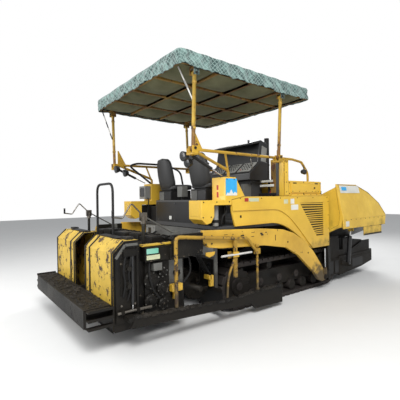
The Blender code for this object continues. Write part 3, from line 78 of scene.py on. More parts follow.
class Wiring:
    """Adds nodes to a node tree and links them."""

    def __init__(self, tree: bpy.types.NodeTree) -> None:
        """Keep the tree.

        Args:
            tree: The tree that nodes are added to.
        """
        self.tree = tree

    def put(self, kind: str, inputs: dict | None = None, **settings: object) -> bpy.types.Node:
        """Add one node.

        Args:
            kind: The node's Blender type.
            inputs: Values or output sockets, by input name or number.
            settings: Attributes of the node.

        Returns:
            The node.
        """
        node = self.tree.nodes.new(kind)
        for key, value in settings.items():
            setattr(node, key, value)
        for key, value in (inputs or {}).items():
            if isinstance(value, bpy.types.NodeSocket):
                self.tree.links.new(value, node.inputs[key])
            else:
                node.inputs[key].default_value = value
        return node

    def maths(self, operation: str, *values: object, clamp: bool = False) -> bpy.types.NodeSocket:
        """Add a Math node and return its output socket."""
        node = self.put("ShaderNodeMath", dict(enumerate(values)), operation=operation,
                        use_clamp=clamp)
        return node.outputs[0]

    def remap(self, value: object, low: object, high: object) -> bpy.types.NodeSocket:
        """Add a clamped Map Range from low..high to 0..1 and return its output socket."""
        node = self.put("ShaderNodeMapRange", {0: value, 1: low, 2: high, 3: 0.0, 4: 1.0})
        return node.outputs[0]

    def noise(self, vector: object, scale: object, detail: float = 6.0,
              rough: float = 0.6) -> bpy.types.NodeSocket:
        """Add a noise texture and return its Factor socket."""
        node = self.put("ShaderNodeTexNoise", {"Vector": vector, "Scale": scale,
                                               "Detail": detail, "Roughness": rough})
        return node.outputs[0]

    def mix(self, share: object, first: object, second: object) -> bpy.types.NodeSocket:
        """Add a colour Mix node and return its Result socket."""
        node = self.put("ShaderNodeMix", {0: share, 6: first, 7: second}, data_type="RGBA")
        return node.outputs[2]

    def blend(self, share: object, first: object, second: object) -> bpy.types.NodeSocket:
        """Add a value Mix node and return its Result socket."""
        node = self.put("ShaderNodeMix", {0: share, 2: first, 3: second}, data_type="FLOAT")
        return node.outputs[0]


def new_group(name: str, inputs: dict[str, float], outputs: Sequence[str]) \
        -> tuple[bpy.types.NodeTree, Wiring, bpy.types.Node, bpy.types.Node]:
    """Make a shader node group with named value sockets.

    Args:
        name: The group's name.
        inputs: Input names with their defaults.
        outputs: Output names.

    Returns:
        The group, its wiring, its input node and its output node.
    """
    group = bpy.data.node_groups.new(name, "ShaderNodeTree")
    for key, value in inputs.items():
        socket = group.interface.new_socket(key, in_out="INPUT", socket_type="NodeSocketFloat")
        socket.default_value = value
    for key in outputs:
        group.interface.new_socket(key, in_out="OUTPUT", socket_type="NodeSocketFloat")
    wiring = Wiring(group)
    return group, wiring, wiring.put("NodeGroupInput"), wiring.put("NodeGroupOutput")


def build_chips() -> bpy.types.NodeTree:
    """Paint chips: fine noise over a threshold that clusters lower in patches."""
    group, w, given, out = new_group("chips", {"Scale": 9.0, "Amount": 0.2, "Soft": 0.02},
                                     ["Mask"])
    place = w.put("ShaderNodeTexCoord").outputs["Object"]
    fine = w.noise(place, given.outputs["Scale"], 9.0, 0.72)
    patch = w.noise(place, w.maths("MULTIPLY", given.outputs["Scale"], 0.16), 3.0, 0.5)
    line = w.maths("SUBTRACT", 0.86, w.maths("MULTIPLY", given.outputs["Amount"], 0.42))
    line = w.maths("SUBTRACT", line, w.maths("MULTIPLY", patch, 0.22))
    mask = w.remap(fine, line, w.maths("ADD", line, given.outputs["Soft"]))
    group.links.new(mask, out.inputs["Mask"])
    return group


def build_grime() -> bpy.types.NodeTree:
    """Dirt that is full below one height and gone above another, broken up by noise."""
    group, w, given, out = new_group("grime", {"Low": 0.2, "High": 1.2, "Scale": 3.0}, ["Mask"])
    place = w.put("ShaderNodeTexCoord").outputs["Object"]
    height = w.put("ShaderNodeSeparateXYZ", {0: place}).outputs["Z"]
    fade = w.remap(height, given.outputs["High"], given.outputs["Low"])
    cloud = w.noise(place, given.outputs["Scale"], 8.0, 0.62)
    mixed = w.maths("ADD", fade, w.maths("MULTIPLY", w.maths("SUBTRACT", cloud, 0.5), 1.6))
    group.links.new(w.remap(mixed, 0.30, 0.72), out.inputs["Mask"])
    return group


def build_dust() -> bpy.types.NodeTree:
    """Dust on faces that look up, thicker in clouds."""
    group, w, given, out = new_group("dust", {"Scale": 5.0}, ["Mask"])
    where = w.put("ShaderNodeTexCoord")
    up = w.put("ShaderNodeSeparateXYZ", {0: where.outputs["Normal"]}).outputs["Z"]
    cloud = w.noise(where.outputs["Object"], given.outputs["Scale"], 7.0, 0.6)
    facing = w.remap(up, 0.35, 0.95)
    group.links.new(w.maths("MULTIPLY", facing, w.remap(cloud, 0.34, 0.64)), out.inputs["Mask"])
    return group


def build_streaks() -> bpy.types.NodeTree:
    """Thin runs of rust or oil that follow the height: noise drawn out twelve times along Z."""
    group, w, given, out = new_group("streaks", {"Scale": 14.0, "Amount": 0.4}, ["Mask"])
    place = w.put("ShaderNodeTexCoord").outputs["Object"]
    drawn = w.put("ShaderNodeMapping", {"Vector": place, "Scale": (1.0, 1.0, 0.08)})
    run = w.noise(drawn.outputs[0], given.outputs["Scale"], 5.0, 0.6)
    line = w.maths("SUBTRACT", 0.78, w.maths("MULTIPLY", given.outputs["Amount"], 0.34))
    group.links.new(w.remap(run, line, w.maths("ADD", line, 0.10)), out.inputs["Mask"])
    return group


def build_relief() -> bpy.types.NodeTree:
    """Height of a used surface: slow dents under a fine grain."""
    group, w, given, out = new_group("relief", {"Scale": 3.0, "Grain": 60.0, "Share": 0.3},
                                     ["Height"])
    place = w.put("ShaderNodeTexCoord").outputs["Object"]
    slow = w.noise(place, given.outputs["Scale"], 3.0, 0.5)
    fine = w.noise(place, given.outputs["Grain"], 4.0, 0.6)
    group.links.new(w.blend(given.outputs["Share"], slow, fine), out.inputs["Height"])
    return group


def build_netting() -> bpy.types.NodeTree:
    """Two diagonal families of cords over the piece's own UV, in metres.

    A line of a family lies where the distance across it, in units of the pitch, is whole.
    """
    group, w, given, out = new_group("netting", {"Pitch": 0.045, "Width": 0.16}, ["Mask"])
    place = w.put("ShaderNodeUVMap", uv_map="cut").outputs[0]
    warp = w.noise(place, 2.5, 3.0, 0.5)
    split = w.put("ShaderNodeSeparateXYZ", {0: place})
    masks = []
    for sign in (1.0, -1.0):
        along = w.maths("ADD", split.outputs["X"], w.maths("MULTIPLY", split.outputs["Y"], sign))
        along = w.maths("ADD", along, w.maths("MULTIPLY", warp, 0.06))
        share = w.maths("DIVIDE", along, given.outputs["Pitch"])
        fall = w.maths("ABSOLUTE", w.maths("SUBTRACT", w.maths("FRACT", share), 0.5))
        masks.append(w.remap(fall, given.outputs["Width"], w.maths("MULTIPLY",
                                                                  given.outputs["Width"], 0.35)))
    group.links.new(w.maths("MAXIMUM", masks[0], masks[1]), out.inputs["Mask"])
    return group


class Effects:
    """The shared node groups, built once."""

    def __init__(self) -> None:
        """Build every group."""
        self.groups = {"chips": build_chips(), "grime": build_grime(), "dust": build_dust(),
                       "streaks": build_streaks(), "relief": build_relief(),
                       "netting": build_netting()}

    def place(self, wiring: Wiring, name: str, **values: float) -> bpy.types.NodeSocket:
        """Put a group into a material and return its first output.

        Args:
            wiring: The material's wiring.
            name: The group's name.
            values: Values of its inputs.

        Returns:
            The group's output socket.
        """
        node = wiring.put("ShaderNodeGroup", node_tree=self.groups[name])
        for key, value in values.items():
            node.inputs[key.capitalize()].default_value = value
        return node.outputs[0]


EFFECTS = Effects()


# ============================================================================================
# finishes
# ============================================================================================


@dataclass(frozen=True)
class Finish:
    """One weathered finish, and how each kind of wear shows on it."""

    name: str
    colour: Colour
    second: Colour | None = None
    roughness: float = 0.5
    metallic: float = 0.0
    coat: float = 0.0
    specular: float = 0.5
    bare: Colour = (0.045, 0.030, 0.020)
    chips: float = 0.0
    chip_scale: float = 9.0
    rust: Colour = (0.16, 0.065, 0.022)
    streaks: float = 0.0
    streak_scale: float = 14.0
    dirt: Colour = (0.030, 0.026, 0.020)
    dirt_low: float = 0.0
    dirt_high: float = 0.0
    dirt_share: float = 0.85
    dirt_scale: float = 3.0
    dust: float = 0.0
    dust_colour: Colour = (0.24, 0.21, 0.16)
    dent: float = 0.0015
    dent_scale: float = 2.2
    grain: float = 60.0
    grain_share: float = 0.3

    def material(self) -> bpy.types.Material:
        """The finish as a Blender material, made once."""
        made = bpy.data.materials.get(self.name)
        if made:
            return made
        made = bpy.data.materials.new(self.name)
        made.use_nodes = True
        made.diffuse_color = (*self.colour, 1.0)
        wiring = Wiring(made.node_tree)
        shader = made.node_tree.nodes["Principled BSDF"]
        shader.inputs["Metallic"].default_value = self.metallic
        shader.inputs["Coat Weight"].default_value = self.coat
        shader.inputs["Coat Roughness"].default_value = 0.25
        shader.inputs["Specular IOR Level"].default_value = self.specular
        place = wiring.put("ShaderNodeTexCoord").outputs["Object"]
        cloud = wiring.remap(wiring.noise(place, 1.7, 6.0, 0.62), 0.36, 0.64)
        second = self.second or tuple(0.84 * part for part in self.colour)
        colour = wiring.mix(cloud, (*self.colour, 1.0), (*second, 1.0))
        rough = wiring.blend(cloud, self.roughness, min(1.0, self.roughness + 0.10))
        worn = []
        if self.dust:
            mask = EFFECTS.place(wiring, "dust", scale=6.0)
            worn.append((wiring.maths("MULTIPLY", mask, self.dust), self.dust_colour, 0.9))
        if self.dirt_high > self.dirt_low:
            mask = EFFECTS.place(wiring, "grime", low=self.dirt_low, high=self.dirt_high,
                                 scale=self.dirt_scale)
            worn.append((wiring.maths("MULTIPLY", mask, self.dirt_share), self.dirt, 0.8))
        if self.streaks:
            mask = EFFECTS.place(wiring, "streaks", scale=self.streak_scale,
                                 amount=self.streaks)
            worn.append((wiring.maths("MULTIPLY", mask, 0.75), self.rust, 0.85))
        if self.chips:
            mask = EFFECTS.place(wiring, "chips", scale=self.chip_scale, amount=self.chips)
            worn.append((mask, self.bare, 0.75))
        for mask, tone, matt in worn:
            colour = wiring.mix(mask, colour, (*tone, 1.0))
            rough = wiring.blend(mask, rough, matt)
        made.node_tree.links.new(colour, shader.inputs["Base Color"])
        made.node_tree.links.new(rough, shader.inputs["Roughness"])
        height = EFFECTS.place(wiring, "relief", scale=self.dent_scale, grain=self.grain,
                               share=self.grain_share)
        bump = wiring.put("ShaderNodeBump", {"Height": height, "Strength": 1.0,
                                             "Distance": self.dent})
        made.node_tree.links.new(bump.outputs[0], shader.inputs["Normal"])
        return made


@dataclass(frozen=True)
class Netting:
    """Knotted shade net: lighter cords in two diagonals over darker cloth."""

    name: str = "shade_net"
    cord: Colour = (0.25, 0.35, 0.325)
    cloth: Colour = (0.022, 0.052, 0.047)
    pale: Colour = (0.17, 0.27, 0.245)

    def material(self) -> bpy.types.Material:
        """The net as a Blender material, made once."""
        made = bpy.data.materials.get(self.name)
        if made:
            return made
        made = bpy.data.materials.new(self.name)
        made.use_nodes = True
        wiring = Wiring(made.node_tree)
        shader = made.node_tree.nodes["Principled BSDF"]
        shader.inputs["Roughness"].default_value = 0.92
        shader.inputs["Sheen Weight"].default_value = 0.25
        place = wiring.put("ShaderNodeTexCoord").outputs["Object"]
        turned = wiring.put("ShaderNodeMapping", {"Vector": place, "Rotation": (0.3, 0.62, 0.0)})
        fold = wiring.put("ShaderNodeMapping", {"Vector": turned.outputs[0],
                                                "Scale": (1.9, 1.9, 0.34)})
        cloud = wiring.remap(wiring.noise(fold.outputs[0], 9.0, 6.0, 0.62), 0.43, 0.60)
        colour = wiring.mix(cloud, (*self.cloth, 1.0), (*self.pale, 1.0))
        cords = EFFECTS.place(wiring, "netting", pitch=0.062, width=0.13)
        colour = wiring.mix(wiring.maths("MULTIPLY", cords, 0.72), colour, (*self.cord, 1.0))
        made.node_tree.links.new(colour, shader.inputs["Base Color"])
        bump = wiring.put("ShaderNodeBump", {"Height": wiring.maths("ADD", cords, cloud),
                                             "Strength": 0.8, "Distance": 0.004})
        made.node_tree.links.new(bump.outputs[0], shader.inputs["Normal"])
        return made


Look = Finish | Netting

YELLOW: Colour = (0.70, 0.440, 0.040)
OILY_DUST: Colour = (0.032, 0.026, 0.018)
DULL = 0.20
BODY_YELLOW = Finish("body_yellow", YELLOW, (0.60, 0.365, 0.033), 0.36, coat=0.25, chips=0.06,
                     chip_scale=16.0, dirt_low=0.55, dirt_high=1.05, dirt_share=0.6,
                     dirt_scale=5.0, dust=0.12, streaks=0.08, dent=0.004)
HOOD_YELLOW = Finish("hood_yellow", YELLOW, (0.64, 0.395, 0.036), 0.36, coat=0.25, chips=0.03,
                     chip_scale=18.0, dust=0.15, streaks=0.05, dent=0.003)
ARM_YELLOW = Finish("arm_yellow", (0.66, 0.400, 0.036), (0.50, 0.290, 0.026), 0.40, coat=0.2,
                    chips=0.24, chip_scale=7.5, dirt_low=0.22, dirt_high=0.66, dirt_share=0.9,
                    dirt_scale=7.0, dust=0.14, streaks=0.12)
WING_YELLOW = Finish("wing_yellow", (0.78, 0.520, 0.060), (0.62, 0.390, 0.042), 0.42, coat=0.2,
                     chips=0.12, chip_scale=8.0, dirt_low=0.70, dirt_high=1.34, dirt_share=0.75,
                     dust=0.12, streaks=0.14, dent=0.010, dent_scale=1.6)
SCREED_YELLOW = Finish("screed_yellow", (0.62, 0.410, 0.040), (0.46, 0.295, 0.030), 0.5,
                       chips=0.50, chip_scale=6.5, bare=(0.060, 0.030, 0.014), streaks=0.35,
                       streak_scale=9.0, dirt_low=0.22, dirt_high=0.60, dust=0.35,
                       dust_colour=(0.24, 0.20, 0.10), dent=0.006)
RAIL_YELLOW = Finish("rail_yellow", (0.48, 0.285, 0.020), (0.32, 0.180, 0.014), 0.5, chips=0.42,
                     chip_scale=12.0, bare=(0.10, 0.042, 0.015), streaks=0.15, dust=0.12)
POST_YELLOW = Finish("post_yellow", (0.44, 0.285, 0.028), (0.32, 0.195, 0.020), 0.5, chips=0.34,
                     chip_scale=14.0, bare=(0.12, 0.05, 0.02), dirt=(0.11, 0.042, 0.015),
                     dirt_low=2.38, dirt_high=2.95, dirt_share=0.85, dirt_scale=12.0)
LATTICE_OCHRE = Finish("lattice_ochre", (0.25, 0.145, 0.018), (0.14, 0.060, 0.012), 0.65,
                       chips=0.5, chip_scale=10.0, bare=(0.09, 0.034, 0.012), streaks=0.1)
BOW_OCHRE = Finish("bow_ochre", (0.42, 0.250, 0.020), (0.25, 0.140, 0.016), 0.6, chips=0.5,
                   chip_scale=13.0, bare=(0.040, 0.022, 0.012), streaks=0.3, dirt_low=0.30,
                   dirt_high=0.95, dirt_scale=8.0, dust=0.15)
BLACK_PAINT = Finish("black_paint", (0.012, 0.012, 0.0125), (0.022, 0.021, 0.020), 0.40,
                     specular=DULL, dust=0.16, dust_colour=OILY_DUST, chips=0.08,
                     bare=(0.10, 0.07, 0.05), dent=0.002)
GLOSS_BLACK = Finish("gloss_black", (0.008, 0.008, 0.009), (0.014, 0.014, 0.014), 0.34, coat=0.1,
                     dust=0.10, dent=0.001)
DARK_GREY = Finish("dark_grey", (0.016, 0.0165, 0.017), (0.027, 0.026, 0.025), 0.45,
                   specular=DULL, dust=0.2, dust_colour=OILY_DUST, chips=0.06,
                   bare=(0.11, 0.08, 0.06))
MID_GREY = Finish("mid_grey", (0.125, 0.125, 0.115), (0.080, 0.078, 0.070), 0.45, dust=0.2,
                  streaks=0.25, rust=(0.022, 0.019, 0.015), dirt_low=0.40, dirt_high=1.0,
                  dirt_share=0.85, chips=0.12)
PANEL_GREY = Finish("panel_grey", (0.24, 0.24, 0.225), (0.17, 0.17, 0.158), 0.5, dust=0.15,
                    chips=0.05)
FRAME_BLACK = Finish("frame_black", (0.006, 0.006, 0.006), (0.013, 0.011, 0.009), 0.40,
                     dirt=(0.013, 0.010, 0.006), dirt_low=0.10, dirt_high=1.15, dirt_share=0.45,
                     dirt_scale=6.0, specular=DULL, dust=0.16, dust_colour=OILY_DUST, dent=0.004)
TRACK_STEEL = Finish("track_steel", (0.007, 0.0065, 0.006), (0.015, 0.012, 0.009), 0.38,
                     metallic=0.3, dirt=(0.013, 0.010, 0.006), dirt_low=0.0, dirt_high=0.85,
                     dirt_share=0.45, dirt_scale=9.0, specular=DULL, dust=0.2,
                     dust_colour=OILY_DUST, dent=0.006, grain=45.0, grain_share=0.6)
OILY_CAST = Finish("oily_cast", (0.018, 0.016, 0.013), (0.006, 0.0055, 0.005), 0.36,
                   metallic=0.25, streaks=0.35, rust=(0.008, 0.0075, 0.007), specular=DULL,
                   dust=0.2, dust_colour=OILY_DUST, chips=0.35, bare=(0.12, 0.10, 0.075),
                   dent=0.010, dent_scale=9.0, grain=50.0, grain_share=0.5)
WALK_STEEL = Finish("walk_steel", (0.019, 0.016, 0.012), (0.008, 0.007, 0.006), 0.50,
                    metallic=0.2, specular=DULL, dust=0.3, dust_colour=(0.060, 0.049, 0.035),
                    chips=0.3, bare=(0.010, 0.009, 0.008), dent=0.008, dent_scale=6.0,
                    grain_share=0.6)
ASPHALT = Finish("asphalt_crust", (0.009, 0.0085, 0.008), (0.034, 0.028, 0.021), 0.5,
                 specular=DULL, dust=0.2, dust_colour=OILY_DUST, dent=0.02, dent_scale=14.0,
                 grain=55.0, grain_share=0.6)
BRIGHT_STEEL = Finish("bright_steel", (0.24, 0.225, 0.20), (0.14, 0.12, 0.095), 0.34,
                      metallic=0.8, chips=0.3, bare=(0.07, 0.035, 0.018))
CHROME = Finish("chrome", (0.62, 0.62, 0.62), (0.5, 0.5, 0.5), 0.14, metallic=1.0, dent=0.0002)
ALUMINIUM = Finish("pale_rod", (0.62, 0.61, 0.58), (0.45, 0.44, 0.41), 0.45, chips=0.2,
                   bare=(0.2, 0.15, 0.1))
RUBBER = Finish("rubber", (0.009, 0.009, 0.009), (0.016, 0.015, 0.014), 0.6, specular=DULL,
                dust=0.15, dust_colour=OILY_DUST, dent=0.002)
VINYL = Finish("vinyl", (0.009, 0.0085, 0.008), (0.020, 0.017, 0.012), 0.55, specular=0.15,
               dust=0.15, dust_colour=(0.07, 0.05, 0.03), dent=0.008, dent_scale=7.0, grain=90.0)
NET_WRAP = Finish("net_wrap", (0.012, 0.022, 0.019), (0.040, 0.062, 0.055), 0.9, chips=0.5,
                  chip_scale=34.0, bare=(0.13, 0.18, 0.16), dent=0.006, dent_scale=9.0)
CANVAS = Finish("canvas_lining", (0.150, 0.148, 0.078), (0.085, 0.088, 0.044), 0.9,
                dirt=(0.050, 0.048, 0.028), dirt_low=3.2, dirt_high=3.45, dirt_share=0.2,
                dent=0.006, dent_scale=7.0, grain=140.0, grain_share=0.5)
BLUE_PANEL = Finish("blue_panel", (0.015, 0.28, 0.62), (0.03, 0.36, 0.68), 0.4, coat=0.3,
                    dust=0.1, dent=0.0005)
WHITE_PANEL = Finish("white_panel", (0.72, 0.72, 0.68), (0.56, 0.56, 0.50), 0.45, chips=0.16,
                     bare=(0.35, 0.32, 0.24), dent=0.0005)
CREAM_PANEL = Finish("cream_panel", (0.60, 0.58, 0.36), (0.40, 0.44, 0.30), 0.5, chips=0.3,
                     bare=(0.16, 0.16, 0.11), dent=0.0005)
GREEN_PANEL = Finish("green_panel", (0.08, 0.38, 0.26), (0.22, 0.48, 0.38), 0.5, chips=0.3,
                     bare=(0.5, 0.5, 0.42), dent=0.0005)
RED_PAINT = Finish("red_paint", (0.42, 0.025, 0.02), (0.30, 0.02, 0.015), 0.45, dust=0.1,
                   dent=0.001)
DARK_GLASS = Finish("dark_glass", (0.010, 0.011, 0.012), (0.018, 0.018, 0.018), 0.08, coat=0.6,
                    dent=0.0002)
FLOOR = Finish("studio_floor", (0.68, 0.68, 0.67), (0.67, 0.67, 0.66), 0.8, dent=0.0)


# ============================================================================================
# surfaces
# ============================================================================================


def unit(vector: np.ndarray) -> np.ndarray:
    """The vectors of the last axis at length one."""
    length = np.linalg.norm(vector, axis=-1, keepdims=True)
    return vector / np.maximum(length, 1e-12)


def square_to(axis: np.ndarray) -> tuple[np.ndarray, np.ndarray]:
    """Two unit vectors square to an axis and to each other."""
    helper = np.array([0.0, 0.0, 1.0]) if abs(axis[2]) < 0.9 else np.array([1.0, 0.0, 0.0])
    first = unit(np.cross(helper, axis))
    return first, np.cross(axis, first)


def smooth_path(points: Sequence[Point], bend: float, steps: int = 5) -> np.ndarray:
    """A path with its corners rounded.

    Each inner corner becomes a quadratic curve from a point before it to one after it:
    (1-t)^2 a + 2 t (1-t) corner + t^2 b.

    Args:
        points: The path's corners.
        bend: Longest distance from a corner to where its curve starts.
        steps: Points on each curve.

    Returns:
        The rounded path, one point a row.
    """
    corners = np.array(points, float)
    if len(corners) < 3:
        return corners
    before, here, after = corners[:-2], corners[1:-1], corners[2:]
    back, ahead = before - here, after - here
    reach = np.minimum(np.linalg.norm(back, axis=1), np.linalg.norm(ahead, axis=1))
    reach = np.minimum(reach * CORNER_SHARE, bend)[:, None]
    start, end = here + unit(back) * reach, here + unit(ahead) * reach
    t = np.linspace(0.0, 1.0, steps)[None, :, None]
    curve = ((1 - t) ** 2 * start[:, None] + 2 * t * (1 - t) * here[:, None]
             + t ** 2 * end[:, None])
    return np.concatenate([corners[:1], curve.reshape(-1, 3), corners[-1:]])


def catenary(start: Point, end: Point, sag: float, count: int = 12) -> np.ndarray:
    """A hanging line: the straight line less sag * 4 t (1 - t) in height."""
    t = np.linspace(0.0, 1.0, count)[:, None]
    line = np.array(start, float) * (1 - t) + np.array(end, float) * t
    line[:, 2] -= sag * 4 * t[:, 0] * (1 - t[:, 0])
    return line


class Shape:
    """A piece under construction: points, faces and the finish of each face."""

    def __init__(self, finish: Look = BLACK_PAINT) -> None:
        """Start empty.

        Args:
            finish: The finish of faces added without one.
        """
        self.finish = finish
        self.finishes: list[Look] = []
        self.points: list[np.ndarray] = []
        self.faces: list[list] = []
        self.marks: list[np.ndarray] = []
        self.count = 0

    def mark(self, finish: Look | None) -> int:
        """The slot number of a finish, added if new."""
        chosen = finish or self.finish
        if chosen not in self.finishes:
            self.finishes.append(chosen)
        return self.finishes.index(chosen)

    def patch(self, points: np.ndarray, faces: list | np.ndarray,
              finish: Look | None = None) -> "Shape":
        """Add points with faces that number them from 0."""
        points = np.asarray(points, float).reshape(-1, 3)
        if isinstance(faces, np.ndarray):
            rows = (faces + self.count).tolist()
        else:
            rows = [[index + self.count for index in face] for face in faces]
        self.points.append(points)
        self.faces.append(rows)
        self.marks.append(np.full(len(rows), self.mark(finish), np.int32))
        self.count += len(points)
        return self

    def grid(self, surface: np.ndarray, finish: Look | None = None,
             wrap: bool = False) -> "Shape":
        """Add a grid of points, rows by columns by 3, with a quad in each cell.

        Args:
            surface: The points.
            finish: The faces' finish.
            wrap: Whether the last column joins the first.
        """
        rows, columns = surface.shape[:2]
        index = np.arange(rows * columns).reshape(rows, columns)
        right = np.roll(index, -1, axis=1) if wrap else index[:, 1:]
        left = index if wrap else index[:, :-1]
        quads = np.stack([left[:-1], right[:-1], right[1:], left[1:]], axis=-1)
        return self.patch(surface, quads.reshape(-1, 4), finish)

    def sweep(self, path: np.ndarray, radius: float | np.ndarray, sides: int = 10,
              finish: Look | None = None, caps: bool = True,
              closed: bool = False) -> "Shape":
        """Add a tube: at each path point a circle square to the path, radius * (cos, sin).

        Args:
            path: Points along the middle.
            radius: One radius, or one for each point.
            sides: Points round the tube.
            finish: The faces' finish.
            caps: Whether the ends are closed.
            closed: Whether the path's end joins its start.
        """
        path = np.asarray(path, float)
        if closed:
            tangent = np.roll(path, -1, axis=0) - np.roll(path, 1, axis=0)
        else:
            tangent = np.gradient(path, axis=0)
        tangent = unit(tangent)
        spread = np.abs(tangent).max(axis=0)
        helper = np.eye(3)[int(np.argmin(spread))]
        first = unit(np.cross(np.broadcast_to(helper, tangent.shape), tangent))
        second = np.cross(tangent, first)
        angle = np.linspace(0.0, 2 * math.pi, sides, endpoint=False)
        wide = np.broadcast_to(np.asarray(radius, float), (len(path),))[:, None, None]
        ring = (path[:, None] + wide * (np.cos(angle)[None, :, None] * first[:, None]
                                        + np.sin(angle)[None, :, None] * second[:, None]))
        if closed:
            ring = np.concatenate([ring, ring[:1]])
        self.grid(ring, finish, wrap=True)
        if caps and not closed:
            flat = np.concatenate([ring[0], ring[-1]])
            order = list(range(sides))
            self.patch(flat, [order[::-1], [sides + index for index in order]], finish)
        return self

    def rod(self, start: Point, end: Point, radius: float, finish: Look | None = None,
            sides: int = 14, end_radius: float | None = None) -> "Shape":
        """Add a straight bar or cone between two points."""
        path = np.array([start, end], float)
        radii = np.array([radius, radius if end_radius is None else end_radius])
        return self.sweep(path, radii, sides, finish)

    def tube(self, points: Sequence[Point], radius: float,
             finish: Look | None = None, bend: float = 0.08,
             sides: int = 10) -> "Shape":
        """Add a bent tube through corners that are rounded."""
        return self.sweep(smooth_path(points, bend), radius, sides, finish)

    def box(self, low: Point, high: Point, finish: Look | None = None) -> "Shape":
        """Add a box from its lowest to its highest corner."""
        low, high = np.minimum(low, high), np.maximum(low, high)
        corner = np.array([[x, y, z] for x in (0, 1) for y in (0, 1) for z in (0, 1)], float)
        faces = [[0, 1, 3, 2], [4, 6, 7, 5], [0, 4, 5, 1], [2, 3, 7, 6], [0, 2, 6, 4],
                 [1, 5, 7, 3]]
        return self.patch(low + corner * (high - low), faces, finish)

    def beam(self, start: Point, end: Point, wide: float, tall: float,
             finish: Look | None = None, up: Point = (0.0, 0.0, 1.0)) -> "Shape":
        """Add a straight bar of rectangular section, tall along up."""
        start, end = np.array(start, float), np.array(end, float)
        along = unit(end - start)
        side = unit(np.cross(np.array(up, float), along))
        over = np.cross(along, side)
        corners = np.array([[-1, -1], [1, -1], [1, 1], [-1, 1]], float) * 0.5
        ring = corners[:, :1] * wide * side + corners[:, 1:] * tall * over
        faces = [[0, 3, 2, 1], [4, 5, 6, 7], [0, 1, 5, 4], [1, 2, 6, 5], [2, 3, 7, 6],
                 [3, 0, 4, 7]]
        return self.patch(np.concatenate([start + ring, end + ring]), faces, finish)

    def plate(self, plane: str, outline: Sequence[Point], near: float, far: float,
              finish: Look | None = None) -> "Shape":
        """Add a flat outline drawn in a plane and given thickness across it.

        Args:
            plane: "xy", "xz" or "yz", the axes of the outline.
            outline: Its corners in order.
            near: Where it starts on the third axis.
            far: Where it ends there.
            finish: The faces' finish.
        """
        order = {"xy": (0, 1, 2), "xz": (0, 2, 1), "yz": (1, 2, 0)}[plane]
        flat = np.array(outline, float)
        count = len(flat)
        points = np.zeros((2 * count, 3))
        points[:, order[0]] = np.tile(flat[:, 0], 2)
        points[:, order[1]] = np.tile(flat[:, 1], 2)
        points[:, order[2]] = np.repeat([near, far], count)
        here = np.arange(count)
        there = (here + 1) % count
        sides = np.stack([here, there, there + count, here + count], axis=-1).tolist()
        caps = [here[::-1].tolist(), (here + count).tolist()]
        return self.patch(points, sides + caps, finish)

    def lathe(self, start: Point, axis: Point, profile: Sequence[tuple[float, float]],
              sides: int = 24, finish: Look | None = None) -> "Shape":
        """Add a turned piece: pairs of distance along the axis and radius, ends closed."""
        start, axis = np.array(start, float), unit(np.array(axis, float))
        rows = np.array(profile, float)
        first, second = square_to(axis)
        angle = np.linspace(0.0, 2 * math.pi, sides, endpoint=False)
        circle = np.cos(angle)[:, None] * first + np.sin(angle)[:, None] * second
        ring = start + rows[:, :1, None] * axis + rows[:, 1:, None] * circle[None]
        self.grid(ring, finish, wrap=True)
        flat = np.concatenate([ring[0], ring[-1]])
        order = list(range(sides))
        return self.patch(flat, [order[::-1], [sides + index for index in order]], finish)

    def bolts(self, centres: Sequence[Point], axis: Point, radius: float = 0.011,
              height: float = 0.008, finish: Look | None = None,
              sides: int = 6) -> "Shape":
        """Add a prism head at each centre, standing along the axis: one block of points."""
        centres = np.atleast_2d(np.array(centres, float))
        axis = unit(np.array(axis, float))
        first, second = square_to(axis)
        angle = np.linspace(0.0, 2 * math.pi, sides, endpoint=False) + 0.3
        circle = radius * (np.cos(angle)[:, None] * first + np.sin(angle)[:, None] * second)
        head = np.concatenate([circle - axis * height * 0.4, circle + axis * height])
        points = centres[:, None] + head[None]
        here = np.arange(sides)
        there = (here + 1) % sides
        quads = np.stack([here, there, there + sides, here + sides], axis=-1)
        shift = (np.arange(len(centres)) * 2 * sides)[:, None]
        walls = (quads[None] + shift[:, :, None]).reshape(-1, 4)
        tops = (np.arange(sides)[None] + sides + shift).tolist()
        base = (np.arange(sides)[::-1][None] + shift).tolist()
        return self.patch(points, walls.tolist() + tops + base, finish)

    def copies(self, points: np.ndarray, faces: np.ndarray, shifts: np.ndarray,
               finish: Look | None = None) -> "Shape":
        """Add one small solid many times, each moved by a row of shifts."""
        placed = np.asarray(points)[None] + np.asarray(shifts)[:, None]
        step = (np.arange(len(shifts)) * len(points))[:, None, None]
        rows = (np.asarray(faces)[None] + step).reshape(-1, np.asarray(faces).shape[1])
        return self.patch(placed, rows, finish)

    def lumps(self, centres: np.ndarray, sizes: np.ndarray, rng: np.random.Generator,
              finish: Look | None = None) -> "Shape":
        """Add rough stones: the 8 corners of a cube and 6 face points, each pushed at random."""
        base = np.array([[x, y, z] for x in (-1, 1) for y in (-1, 1) for z in (-1, 1)], float)
        base = np.concatenate([base * 0.62, np.eye(3), -np.eye(3)])
        tops = {8: (4, 5, 7, 6), 9: (2, 6, 7, 3), 10: (1, 3, 7, 5), 11: (0, 2, 3, 1),
                12: (0, 1, 5, 4), 13: (0, 4, 6, 2)}
        faces = [[top, ring[i], ring[(i + 1) % 4]] for top, ring in tops.items()
                 for i in range(4)]
        push = 1 + 0.45 * (rng.random((len(centres), len(base), 1)) - 0.5)
        points = centres[:, None] + base[None] * push * sizes[:, None]
        step = (np.arange(len(centres)) * len(base))[:, None, None]
        return self.patch(points, (np.array(faces)[None] + step).reshape(-1, 3), finish)

